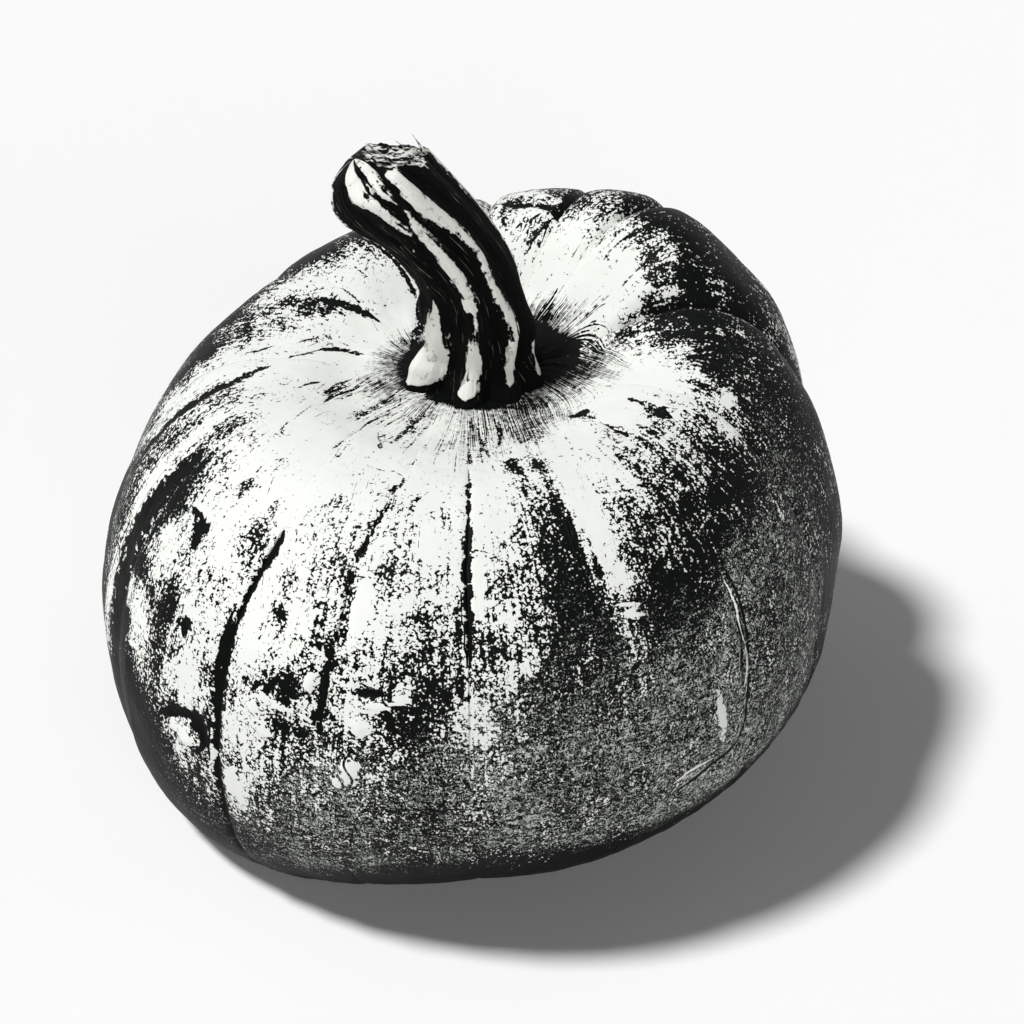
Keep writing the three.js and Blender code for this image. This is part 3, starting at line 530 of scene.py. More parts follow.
def flow_of(azimuth, along, radius, length):
    """Seamless coordinates for noise drawn out along the ribs: round a circle, and along its axis."""
    turn = np.radians(azimuth)
    return np.stack([radius * np.cos(turn), radius * np.sin(turn), along * length + 0 * turn], axis=-1)


def in_scene(name, data):
    """A new object with that data."""
    item = bpy.data.objects.new(name, data)
    bpy.context.scene.collection.objects.link(item)
    return item


def make_piece(name, points, faces, material):
    """An object with a smooth mesh of points in mm."""
    mesh = bpy.data.meshes.new(name)
    mesh.from_pydata((np.array(points) * MM).tolist(), [], faces)
    mesh.shade_smooth()
    mesh.materials.append(material)
    return in_scene(name, mesh)


def ring_quads(here):
    """The faces between closed rings of points, given by their numbers (rings, columns)."""
    beside = np.roll(here, -1, axis=1)
    return np.stack([here[:-1], here[1:], beside[1:], beside[:-1]], axis=-1).reshape(-1, 4)


def make_closed_piece(name, rings, start, end, attributes, material):
    """An object of rings of points (rows, columns, 3) in mm, closed by the points start and end.

    attributes are name: values on the rings, (rows, columns) or (rows, columns, 3). The two closing
    points take the mean of the ring beside them.
    """
    points = np.concatenate([[start], rings.reshape(-1, 3), [end]])
    here = 1 + np.arange(len(points) - 2).reshape(rings.shape[:2])
    first, last = here[0].tolist(), here[-1].tolist()
    start_faces = [(0, a, b) for a, b in zip(first, first[1:] + first[:1])]
    end_faces = [(len(points) - 1, b, a) for a, b in zip(last, last[1:] + last[:1])]
    faces = start_faces + ring_quads(here).tolist() + end_faces
    piece = make_piece(name, points, faces, material)
    for key, values in attributes.items():
        width = values.shape[2:]
        flat = values.reshape((-1,) + width)
        closed = np.concatenate([[values[0].mean(0)], flat, [values[-1].mean(0)]])
        kind, field = ("FLOAT_VECTOR", "vector") if width else ("FLOAT", "value")
        layer = piece.data.attributes.new(key, kind, "POINT")
        layer.data.foreach_set(field, closed.astype(np.float32).ravel())
    return piece


# ---- Fruit ----

GROOVE_AZIMUTHS = np.array([groove[0] for groove in GROOVES], float)
RIB_EDGES = np.append(GROOVE_AZIMUTHS - GROOVE_AZIMUTHS[0], 360)  # degrees on from the first groove


def bend(azimuth, along):
    """How far in degrees the grooves near an azimuth stray there from the CAD model's."""
    return sum(
        bell(turn_between(azimuth, groove), BEND_WIDTH) * np.interp(along, *np.array(turns).T)
        for groove, turns in BENDS
    )


def groove_place(azimuth):
    """The groove before each azimuth, the one after it, and how far across the rib it lies."""
    turn = (azimuth - GROOVE_AZIMUTHS[0]) % 360
    before = np.searchsorted(RIB_EDGES, turn, side="right") - 1
    across = (turn - RIB_EDGES[before]) / (RIB_EDGES[before + 1] - RIB_EDGES[before])
    return before, (before + 1) % len(GROOVES), across


def groove_drop(azimuth, along):
    """How deep the CAD model's ribs and grooves lie below the meridian."""
    before, after, across = groove_place(azimuth - bend(azimuth, along))
    table = np.array(GROOVES)
    shoulder, belly, roundness = (
        table[before, k] * (1 - across) + table[after, k] * across for k in (1, 2, 3)
    )
    depth = shoulder + (belly - shoulder) * ramp(GROOVE_EASE, along)
    ribs = ramp(GROOVE_START, along) * (1 - ramp(GROOVE_END, along))
    return ribs * depth * (1 - np.sin(np.pi * across) ** roundness)


def skin(azimuth, along):
    """The CAD model's rind at each azimuth and share of the meridian, in mm, its grooves bent."""
    azimuth, along = np.broadcast_arrays(np.asarray(azimuth, float), np.asarray(along, float))
    on_meridian, tangent = spline(MERIDIAN, along), direction(MERIDIAN, along)
    out = mounds(azimuth, along, SWELLS) - groove_drop(azimuth, along)
    rise = sum(height * bell(turn_between(azimuth, at), wide) for at, wide, height in SHOULDER_RISES)
    rise = rise * ramp(RISE_START, along) * (1 - ramp(RISE_END, along))
    radius = on_meridian[..., 0] - tangent[..., 1] * out
    height = on_meridian[..., 1] + tangent[..., 0] * out + rise - LEAN_PIVOT
    turn, lean = np.radians(azimuth), math.radians(LEAN)
    x = radius * np.cos(turn)
    y = radius * np.sin(turn) + PIT_SETBACK * (1 - ramp(PIT_REACH, along))
    z = x * math.sin(lean) + height * math.cos(lean) + LEAN_PIVOT
    x = x * math.cos(lean) - height * math.sin(lean)
    settled = (np.maximum(z, -FLAT_BLEND) + FLAT_BLEND) ** 2 / (4 * FLAT_BLEND)
    return np.stack([x, y, np.where(z < FLAT_BLEND, settled, z)], axis=-1)


def rib_azimuths():
    """The columns' azimuths: as many in each rib, crowded towards its grooves."""
    even = np.arange(RIB_COLUMNS) / RIB_COLUMNS
    across = even - COLUMN_CROWDING * np.sin(2 * np.pi * even) / (2 * np.pi)
    return (GROOVE_AZIMUTHS[:, None] + np.diff(RIB_EDGES)[:, None] * across).ravel()


def normals_of(grid):
    """Unit normals of a grid of points that closes on itself across its columns."""
    across = np.roll(grid, -1, axis=1) - np.roll(grid, 1, axis=1)
    return unit(np.cross(np.gradient(grid, axis=0), across))


def groove_fill(azimuth, along):
    """How far the visual rind rises in the CAD model's grooves."""
    belly = BELLY_FILL * (1 - ramp(BELLY_FILL_REACH, abs(turn_between(azimuth, BELLY_FILL_AT))))
    fill = belly + (SHOULDER_FILL - belly) * (1 - ramp(SHOULDER_SPAN, along))
    fill = fill + (FOOT_FILL - belly) * ramp(FOOT_FILL_SPAN, along)
    return fill * np.minimum(groove_drop(azimuth, along), FILL_LIMIT)


def lay_spots(grid, spots):
    """Where each point lies in the nearest spot, whose rim is at 1; and the spots' relief.

    The third value of the place is the spot's kind, 0 well away from them all.
    """
    nearest = np.full(grid.shape[:2], SPOT_FAR)
    place = np.stack([nearest, nearest, 0 * nearest], axis=-1)
    relief = 0 * nearest
    for azimuth, along, wide, tall, height in spots:
        middle = skin(azimuth, along)
        sideways = unit(skin(azimuth + SPOT_STEPS[0], along) - middle)
        down = unit(skin(azimuth, along + SPOT_STEPS[1]) - middle)
        offset = grid - middle
        u, v = (offset @ sideways) / wide, (offset @ down) / tall
        near = np.linalg.norm(offset, axis=-1) <= SPOT_CUT * max(wide, tall)
        reach = np.where(near, np.hypot(u, v), SPOT_FAR)
        relief += height * np.exp(-(reach**SPOT_STEEPNESS))
        closer = reach < nearest
        nearest = np.where(closer, reach, nearest)
        kind = CURLED_SPOT if (azimuth, along) == CURLED_WART else PLAIN_SPOT
        own = np.stack([u, v, np.where(reach < SPOT_REACH, kind, 0)], axis=-1)
        place = np.where(closer[..., None], own, place)
    return place, relief


def near_course(azimuth, along, radius, course):
    """The distance in mm to a line's middle, the same signed by its side, and its half width there."""
    closest = np.full(azimuth.shape, STROKE_FAR)
    signed, width = closest, 0 * closest
    for i, (start, end) in enumerate(zip(course, course[1:])):
        across = np.radians(turn_between(azimuth, start[0])) * radius
        down = (along - start[1]) * MERIDIAN_LENGTH
        run_across = math.radians(turn_between(end[0], start[0])) * radius
        run_down = (end[1] - start[1]) * MERIDIAN_LENGTH
        share = (across * run_across + down * run_down) / (run_across**2 + run_down**2)
        share = np.clip(share, 0, 1)
        gap_across, gap_down = across - share * run_across, down - share * run_down
        distance = np.hypot(gap_across, gap_down)
        side = np.sign(gap_across * run_down - gap_down * run_across)
        own = start[2] + (end[2] - start[2]) * share
        if i == 0:
            own = own * np.sqrt(share_of(0, STROKE_POINT, share))
        if i == len(course) - 2:
            own = own * np.sqrt(share_of(0, STROKE_POINT, 1 - share))
        closer = distance < closest
        closest = np.where(closer, distance, closest)
        signed = np.where(closer, distance * side, signed)
        width = np.where(closer, own, width)
    return closest, signed, width


def lay_strokes(azimuth, along, radius, strokes):
    """The signed distance to the nearest line, its half width and its tone; and the relief.

    The tone is 0 well away from a line, so that a face that lies between two lines shows neither.
    """
    nearest = np.full(azimuth.shape, STROKE_FAR)
    place = np.stack([nearest, 0 * nearest, 0 * nearest], axis=-1)
    relief = 0 * nearest
    for tone, depth, course in strokes:
        course = np.array(course, float)
        closest, signed, width = near_course(azimuth, along, radius, course)
        relief -= depth * width / course[:, 2].max() * bell(closest, np.maximum(width, STROKE_FURROW))
        outside = closest - width
        closer = (outside < nearest) & (closest < STROKE_REACH)
        nearest = np.where(closer, outside, nearest)
        own = np.stack([signed, width, np.where(outside < STROKE_TONE_REACH, tone, 0)], axis=-1)
        place = np.where(closer[..., None], own, place)
    return place, relief


def unseen_strokes():
    """The lines of the grooves on the sides that the picture does not show."""
    return [
        (UNSEEN_TONE, UNSEEN_DEPTH, [
            (at + turn, start + (end - start) * share, width) for turn, share, width in UNSEEN_COURSE
        ])
        for at, start, end in UNSEEN_LINES
    ]


def mottle_and_shade_of(azimuth, along, grid):
    """How dark the rind's mottling is, with painted light in it: paler on the lit front-left, darker on the
    shaded right and towards the flat spot.
    """
    half, above, below = round_table(WATERLINES, azimuth)
    mottle_and_shade = np.clip(np.where(along < half, above, below) * (along - half), PALEST, DARKEST)
    rib = np.sin(np.pi * groove_place(azimuth)[2])
    guess = UNSEEN_GROOVE + (UNSEEN_RIB - UNSEEN_GROOVE) * rib + noises(grid, UNSEEN_BLOTCHES)
    guess = np.clip(guess + UNSEEN_SLOPE * (along - UNSEEN_HALF), PALEST, DARKEST)
    turned = azimuth % 360
    unseen = ramp(UNSEEN_START, turned) * (1 - ramp(UNSEEN_STOP, turned)) * ramp(UNSEEN_FROM, along)
    mottle_and_shade = mottle_and_shade + unseen * (guess - mottle_and_shade) + UNDERSIDE_SHADE_TONE * ramp(UNDERSIDE_SHADE_SPAN, along)
    mottle_and_shade = mottle_and_shade + mounds(azimuth, along, PATCHES)
    button = ramp(BUTTON_EDGE, along)
    return mottle_and_shade + button * (BUTTON_TONE + STAR_TONE * ramp(STAR_EDGE, along) - mottle_and_shade)


def pit_shade_of(azimuth, along):
    """How dark the painted shade round the stem is: a dark ring at its foot, and fine lines beyond it."""
    ring_end, beside, gone = round_table(PIT_SHADE_REACH, azimuth)
    pit_shade = beside + (PIT_SHADE_NONE - beside) * share_of(ring_end, gone, along) ** 2
    return pit_shade + (PIT_RING_SHADE_TONE - pit_shade) * fade(ring_end, PIT_RING_SHADE_EDGE, along)


def flecks_of(azimuth, along):
    """How thick the flecks lie on the dark rind."""
    first, full, end, tone = round_table(FLECKS, azimuth)
    shown = share_of(first, full, along) * fade(end, FLECKS_FADE, along)
    return FLECKS_NONE + (tone - FLECKS_NONE) * shown


def make_fruit():
    """The rings of the rind's points in mm, and the values that its material reads there."""
    straight = rib_azimuths()[None, :]
    along = np.interp(np.arange(1, FRUIT_ROWS + 1), *np.array(ROW_PLACES).T)[:, None]
    azimuth = straight
    for _ in range(BEND_ROUNDS):
        azimuth = straight + bend(azimuth, along)
    azimuth, along = np.broadcast_arrays(azimuth, along)
    slanted = azimuth - round_table(HATCH_SLANT, azimuth)[0] * (along - SLANT_FROM)
    grid = skin(azimuth, along)
    radius = np.hypot(grid[..., 0], grid[..., 1])

    relief = groove_fill(azimuth, along) + noises(grid, UNEVENNESS)
    wrinkled = ramp(WRINKLES_START, along) * (1 - ramp(WRINKLES_END, along))
    relief += wrinkled * noises(flow_of(slanted, along, *WRINKLE_FLOW), WRINKLES)
    relief += ramp(RIPPLES_START, along) * noises(flow_of(azimuth, along, *RIPPLE_FLOW), RIPPLES)

    hollows, hollow_relief = lay_spots(grid, [(*spot[:4], -spot[4]) for spot in HOLLOWS])
    warts, wart_relief = lay_spots(grid, WARTS)
    strokes, stroke_relief = lay_strokes(azimuth, along, radius, STROKES + unseen_strokes())
    raised = [(1, -height, course) for height, course in PALE_LINES_AND_HIGHLIGHTS]
    pale_lines_and_highlights, pale_line_relief = lay_strokes(azimuth, along, radius, raised)
    relief += hollow_relief + wart_relief + stroke_relief + pale_line_relief + lay_spots(grid, BOSSES)[1]

    relief *= ramp(RELIEF_RISE, grid[..., 2])
    surface = grid + normals_of(grid) * relief[..., None]
    surface[..., 2] = np.maximum(surface[..., 2], 0)
    return surface, {
        "mottle_and_shade": mottle_and_shade_of(azimuth, along, grid), "pit_shade": pit_shade_of(azimuth, along),
        "flecks": flecks_of(azimuth, along), "hollow": hollows, "wart": warts, "stroke": strokes,
        "pale_line_highlight": pale_lines_and_highlights, "flow": flow_of(azimuth, along, *MARK_FLOW),
        "fan": flow_of(slanted, along, *MARK_FLOW),
    }


# ---- Stem ----

# Each ridge's course: share of the stem, azimuth about the centre line, half width in mm of its
# pale cork (below 0 there is none), and how high it stands, as a share of the model's ridge.
RIDGES = [
    [(0, -158, -2, 1.3), (0.12, -158, -1.2, 1.6), (0.135, -158, 3.6, 1.6), (0.155, -158, 5.2, 1.7),
     (0.19, -158, 5.6, 1.7), (0.24, -158, 5.2, 1.5), (0.3, -152, 3.9, 1.3), (0.345, -148, 2.9, 1.1),
     (0.38, -146, 2, 1), (0.43, -145, 1, 1), (0.47, -142, 0.1, 1), (0.5, -138, -0.3, 0.9),
     (0.6, -118, -0.5, 0.8), (0.67, -96, -0.3, 0.7), (0.7, -88, 0.3, 0.7), (0.73, -86, 0.5, 0.8),
     (0.775, -86, 0.6, 0.8), (0.81, -85, 0.9, 0.9), (0.86, -87, 1.4, 0.9), (0.91, -95, 2, 1),
     (0.95, -98, 2, 0.8), (1, -98, 2, 0.6)],
    [(0, -101, -2, 1.2), (0.13, -101, -1.5, 1.4), (0.15, -101, 2.2, 1.3), (0.18, -100, 2, 1.2),
     (0.225, -96, 1.2, 1.1), (0.28, -95, 1.5, 1), (0.34, -96, 0.7, 1), (0.375, -94, 0.4, 1),
     (0.41, -90, 0.4, 1), (0.43, -90, 0.2, 1), (0.44, -90, 1.1, 1), (0.45, -91, 1.4, 1),
     (0.48, -88, 1.3, 1), (0.53, -87, 1.6, 1), (0.575, -85, 1.3, 1), (0.63, -80, 1.2, 1),
     (0.685, -77, 0.9, 1), (0.73, -73, 0.7, 0.8), (0.765, -68, 0.5, 0.8), (0.78, -68, -0.4, 0.8),
     (0.815, -69, -0.3, 0.8), (0.835, -69, 0.6, 0.8), (0.86, -70, 1, 0.9), (0.92, -70, 1.2, 0.9),
     (0.975, -66, 1.1, 0.7), (1, -66, 1, 0.5)],
    [(0, -64, -1, 1), (0.165, -63, -1, 1.1), (0.185, -62, 1.2, 1), (0.22, -59, 1.1, 1),
     (0.27, -56, 1.5, 1.1), (0.31, -51, 1.5, 1.2), (0.34, -45, 1.1, 1.2), (0.37, -44, 1.2, 1),
     (0.4, -49, 1.6, 1), (0.44, -56, 1.2, 1), (0.475, -55, 0.9, 1), (0.51, -51, 1, 1), (0.555, -47, 0.8, 1),
     (0.6, -46, 0.9, 1), (0.645, -49, 1.3, 1), (0.69, -52, 2, 1), (0.74, -53, 2, 1), (0.79, -52, 1.7, 1),
     (0.85, -48, 1.1, 1), (0.9, -47, 1.2, 0.9), (0.915, -47, 0.9, 0.9), (0.935, -47, -0.3, 0.8),
     (1, -47, -0.5, 0.5)],
    [(0, -32, -1, 1), (0.155, -27, -1, 1.1), (0.17, -25, 0.8, 1.1), (0.2, -20, 1, 1), (0.24, -19, 0.5, 1),
     (0.275, -18, 0.4, 0.9), (0.295, -16, -0.5, 0.9), (0.6, -14, -0.6, 0.9), (0.75, -14, -0.1, 0.9),
     (1, -12, -0.3, 0.5)],
    [(0, 30, -1, 1.1), (0.16, 30, -0.2, 1.1), (0.24, 32, -0.4, 1), (0.36, 32, 0.6, 1), (0.45, 30, 0.9, 1),
     (0.7, 32, 1.1, 1), (0.9, 33, 0.4, 1), (1, 32, -0.3, 0.5)],
    [(0, 76, -1, 1.1), (0.13, 76, -1, 1.3), (0.16, 76, 2.2, 1.3), (0.3, 74, 1.4, 1), (0.5, 78, 1.8, 1),
     (0.68, 74, 0.5, 1), (0.85, 77, 1.5, 1), (1, 76, 0.2, 0.5)],
    [(0, 116, -1, 1.1), (0.13, 116, -1, 1.3), (0.16, 116, 2.4, 1.3), (0.3, 116, 1.6, 1),
     (0.48, 120, 0.5, 1), (0.62, 118, 1.7, 1), (0.9, 120, 1.3, 1), (1, 120, 0.2, 0.5)],
    [(0, 157, -1, 0.9), (0.26, 158, -1, 0.9), (0.34, 164, 0.4, 0.9), (0.45, 168, 0.9, 1),
     (0.6, 172, 1.2, 1), (0.75, 180, 0.4, 0.9), (0.9, 190, 0.9, 0.9), (1, 192, 0.6, 0.5)],
]
CREST_SHARPNESS = 1.4  # 1 for a plain wave across the ridges
STEM_FOOT = 0.1  # share of the stem that lies hidden under the rind
# The foot's size against the model's, sideways and from front to back, and the shares between which
# it takes on the model's own.
FOOT_GIRTH = (0.98, 0.80)
FOOT_SPAN = (0.22, 0.38)
# azimuth, along, width in degrees, height as a share of the stem, and how far the shaft bulges there
STEM_BULGES = [
    (180, 0.4, 30, 0.1, 3), (178, 0.56, 30, 0.08, 1), (-4, 0.32, 24, 0.06, 1.8),
    (-168, 0.205, 28, 0.05, 2.2), (8, 0.88, 45, 0.09, 1.6),
]

# Relief of the cork and the bark, in layers of noise drawn out along the ridges. A point's depth in the
# cork is in mm, below 0 outside it.
STEM_FLOW = (10, 7)
CORK_EDGE = [(0.5, 1.3, 21), (0.3, 3.1, 22)]
CORK_RISE, CORK_SPAN = 0.35, (-0.3, 0.5)
BARK = [(0.35, 0.45, 23), (0.16, 2.2, 24)]
CRACKS, CRACK_SPAN = [(1, 1.1, 25)], (0.0, 0.5)
CRACK_DEPTH, CRACKS_FROM = 0.3, (-1.5, -3)  # only in the bark well away from the cork

TIP_LENGTH = 2.5  # how far the rounded tip reaches beyond the end of the model's shaft
TIP_ROUNDNESS = 0.8
# The tip is sliced off slantwise: a point of the slice, its normal, and how ragged it is.
SLICE_POINT = (-16.5, 5.0, 157.0)
SLICE_NORMAL = (0.06, 0.2, 0.97)
SLICE_RAGGED = [(0.9, 1 / 2.8, 26), (0.54, 1 / 1.2, 27)]
SLICE_FROM, SLICE_CLEAR = 0.5, 1  # share of the stem below which all is said to be 1 mm off the slice
SLICE_MARGIN = 0.3  # how many mm short of the slice the cut wood starts to show

# Torn fibres on the cut's far rim: foot in mm, length in mm, and how far each leans over
FIBRES = [
    ((-11, 10.5, 154), 5.6, -1.7), ((-10, 10, 153.6), 4.4, -1.5), ((-12, 11, 154.4), 1.8, -0.6),
    ((-21.5, 9, 155.6), 2.4, -1.4), ((-15, 12, 154.8), 2.2, -1.6),
]
FIBRE_RADIUS = 0.22
FIBRE_TAPER = 0.8  # share of its radius that a fibre loses towards its end
FIBRE_SLANT = (0.4, 0.3)  # its straight run along X, as a share of its lean, and along Y in mm


def stem_frame(along):
    """The stem's centre line, its tangent, and its sideways and backward directions."""
    centre = spline(STEM_LINE, along)[..., :3]
    tangent = direction([point[:3] for point in STEM_LINE], along)
    side = unit(np.cross([0, 1, 0], tangent))
    return centre, tangent, side, np.cross(tangent, side)


def stem_radius(along):
    return spline([[i, point[3]] for i, point in enumerate(STEM_LINE)], along)[..., 1]


def stem_columns(along):
    """Each column's azimuth at those shares of the stem, and what the ridges give it there.

    That is the half width of the nearer ridge's cork, how high the ridges stand, and the turn in
    radians from the nearer crest.
    """
    courses = [
        np.stack([np.interp(along, *np.array(ridge, float).T[[0, k]]) for k in (1, 2, 3)])[..., None]
        for ridge in RIDGES
    ]
    even = np.arange(RIDGE_COLUMNS) / RIDGE_COLUMNS
    parts = []
    for (azimuth, cork, height), following in zip(courses, courses[1:] + courses[:1]):
        width = (following[0] - azimuth) % 360
        parts.append([
            azimuth + width * even, np.where(even < 0.5, cork, following[1]),
            height * (1 - even) + following[2] * even, np.minimum(even, 1 - even) * np.radians(width),
        ])
    return [np.concatenate(part, axis=1) for part in zip(*parts)]


def make_stem():
    """The rings of the stem's points in mm, the points that close it, and its material's values."""
    shaft = np.linspace(STEM_FOOT, 1, STEM_ROWS)
    tip = np.linspace(0, 1, TIP_ROWS + 1)[1:-1]  # from the end of the shaft to the middle of the tip
    along = np.concatenate([shaft, np.ones(len(tip))])[:, None]
    closing = np.concatenate([np.zeros(len(shaft)), tip])[:, None] * np.pi / 2

    azimuth, cork, height, across = stem_columns(along[:, 0])
    turn = np.radians(azimuth)
    radius = stem_radius(along)
    from_crest = across * radius
    crest = np.cos(np.pi * np.clip(across / np.radians(360 / len(RIDGES)), 0, 0.5)) ** CREST_SHARPNESS
    toe = STEM_TOE_HEIGHT * (1 - ramp((0, STEM_TOE_END), along))
    wave = (STEM_RIDGE_HEIGHT + toe) * height * (crest - STEM_RIDGE_MEAN)
    lined = flow_of(azimuth, along, *STEM_FLOW)
    corky = cork - from_crest + noises(lined, CORK_EDGE)
    relief = CORK_RISE * ramp(CORK_SPAN, corky) + noises(lined, BARK) + mounds(azimuth, along, STEM_BULGES)
    relief -= CRACK_DEPTH * ramp(CRACKS_FROM, corky) * ramp(CRACK_SPAN, noises(lined, CRACKS))
    ring = (radius * (1 + wave) + relief) * np.cos(closing) ** TIP_ROUNDNESS
    wide, deep = (size + (1 - size) * ramp(FOOT_SPAN, along) for size in FOOT_GIRTH)
    centre, tangent, side, back = stem_frame(along)
    grid = centre + tangent * (TIP_LENGTH * np.sin(closing))[..., None]
    grid = grid + side * (wide * ring * np.cos(turn))[..., None]
    grid = grid + back * (deep * ring * np.sin(turn))[..., None]

    # The slice: whatever stands beyond it is laid back onto it, torn all over.
    normal = unit(np.array(SLICE_NORMAL))
    beyond = (grid - SLICE_POINT) @ normal - noises(grid, SLICE_RAGGED)
    beyond = np.where(along > SLICE_FROM, beyond, -SLICE_CLEAR)
    grid = grid - np.maximum(beyond, 0)[..., None] * normal
    attributes = {"cork": corky, "lined": lined, "cut": np.clip(beyond + SLICE_MARGIN, 0, 1)}
    # Rows run from the tip down to the foot, so that the faces point outwards.
    flipped = {key: values[::-1] for key, values in attributes.items()}
    return grid[::-1], grid[-1].mean(0), centre[0, 0], flipped


def tube(path, radii):
    """The rings of a thin tube along a path of points."""
    tangent = unit(np.gradient(path, axis=0))
    off_path = (0.3, 1, 0.2)  # any direction that no fibre runs in
    side = unit(np.cross(tangent, off_path))
    back = np.cross(tangent, side)
    turn = np.arange(FIBRE_SIDES) * 2 * np.pi / FIBRE_SIDES
    ring = side[:, None] * np.cos(turn)[:, None] + back[:, None] * np.sin(turn)[:, None]
    return path[:, None] + ring * radii[:, None, None]


def make_fibres(shift, material):
    """The torn fibres that stand up on the far rim of the cut, as one mesh."""
    share = np.linspace(0, 1, FIBRE_RINGS)[:, None]
    points, faces = [], []
    for start, length, lean in FIBRES:
        straight = [FIBRE_SLANT[0] * lean, FIBRE_SLANT[1], length]
        path = np.array(start) + share * straight + share**2 * [lean, 0, 0]
        rings = tube(path, FIBRE_RADIUS * (1 - FIBRE_TAPER * share[:, 0]))
        here = len(points) + np.arange(FIBRE_RINGS * FIBRE_SIDES).reshape(FIBRE_RINGS, FIBRE_SIDES)
        outward = ring_quads(here)[:, [0, 3, 2, 1]]
        faces += outward.tolist() + [here[0, ::-1].tolist(), here[-1].tolist()]
        points += (rings.reshape(-1, 3) + shift).tolist()
    return make_piece("stem_fibres", points, faces, material)


# ---- Materials ----

# Colours in sRGB values up to 255
DARK_RIND = (6, 9, 7)
PALE_RIND = (246, 248, 243)
SHADED_RIND = (241, 243, 238)
FLECK_RIND = (122, 127, 121)
BRIGHT_FLECK = (208, 212, 206)
DARK_STEM = (7, 9, 7)
STREAK_STEM = (120, 124, 114)
CORK = (246, 246, 240)
CUT_WOOD = (236, 237, 230)
# Colours in Blender's own values
WHITE = (1, 1, 1, 1)
FLOOR_WHITE = (0.98, 0.98, 0.98, 1)
FLOOR_GLOW = 0.035
SPECULAR = 0.05

NOISE_SPREAD = 0.13  # the standard deviation of one octave of a noise texture
CELL_MEAN, CELL_SPREAD = 0.5, 0.17  # the mean and standard deviation of a Voronoi texture's distance

# Noise in the rind's material: features per metre (per unit on the flow and the fan), spread in tones,
# further octaves, and their roughness. Cells have the first two. A scale is how the flow or the fan is
# stretched under the noise, and an edge is a span of tones or mm over which a mark sets in.
MOTTLE_CELLS = (1250, 0.6)
MOTTLES = [(2600, 0.45), (650, 0.35, 1, 0.6), (150, 0.4, 3, 0.6)]
STREAKS, STREAK_SCALE = (1.3, 0.35, 4, 0.6), (1.6, 1.6, 0.4)
SPOT_RAGGED = (600, 0.16, 3, 0.65)
SPOT_RIM = (0.8, 1.0)
STROKE_RAGGED, PALE_LINE_RAGGED = (420, 0.3, 3, 0.6), (420, 0.12, 3, 0.6)
LINE_EDGE = (-0.15, 0.15)
INK_EDGE = (-0.2, 0.2)
HOLLOW_TONE, PALE_LINE_HIGHLIGHT_TONE, WART_TONE = 4.5, -1.8, -1.6
CURL_TONE, CURL_WIDTH, CURL_END = 5.0, (0.06, 0.16), 1.3
CURL_SWING, CURL_TURN = 0.36, 3.4  # how far the line across the wart swings, and how fast
FAN, FAN_SCALE = (1, 0.9, 1), (5.0, 5.0, 0.6)
HATCH_BREAKS, HATCH_EDGE = [(900, 0.4, 1), (110, 0.3, 1)], (-0.2, 0.3)
FLECK_GRAIN, FLECK_CELLS = (3000, 0.7), (1500, -0.4)
FLECK_ROWS, FLECK_ROWS_SCALE = (1, 0.3, 1, 0.6), (0.9, 0.9, 22.0)
FLECK_PATCHES, FLECK_EDGE = (150, 0.25, 3, 0.6), (-0.6, 1.1)
FLECK_SHADES, FLECK_SHADE_EDGE = (900, 1), (-1, 1)
PALE_SHADES, PALE_SHADE_EDGE = (45, 1, 4), (-1.5, 1.5)
RIND_ROUGHNESS, DARK_SMOOTHER = 0.6, -0.1
# Bumps: how many mm a height of 1 is, and the heights of the dark, the hatched, the flecks and the grain
RIND_BUMP, DARK_BUMP, HATCH_BUMP, FLECK_BUMP, GRAIN_BUMP = 0.14, -0.6, -0.3, 0.3, (500, 0.1, 3)

# The same for the stem's material
CORK_BREAKS, CORK_LINES = (500, 0.2, 4, 0.7), (1.5, 0.15, 3)
LINED_SCALE, CORK_FADE = (1.0, 1.0, 0.5), (-0.1, 0.15)
STEM_STREAKS, STEM_STREAK_EDGE, STEM_STREAK_SHARE = (3.2, 1, 3, 0.6), (1.9, 2.6), 0.8
CORK_STAINS, CORK_STAIN_EDGE, CORK_STAIN_SHARE = (260, 1, 4, 0.7), (0.9, 2.2), 0.6
TORN_WOOD, TORN_SCALE, TORN_EDGE = (130, 1, 5, 0.7), (1.0, 5.0, 5.0), (-0.2, 0.6)
CUT_EDGE = (0.3, 0.8)
STEM_ROUGHNESS, CORK_ROUGHER = 0.75, 0.1
STEM_BUMP, CORK_BUMP, LINE_BUMP, BARK_BUMP = 0.22, 0.7, (3.0, 0.07, 3), (800, 0.04, 2)


def linear(colour):
    """A Blender colour from sRGB values up to 255."""
    shares = [c / 255 for c in colour]
    return [c / 12.92 if c <= 0.04 else ((c + 0.055) / 1.055) ** 2.4 for c in shares] + [1]


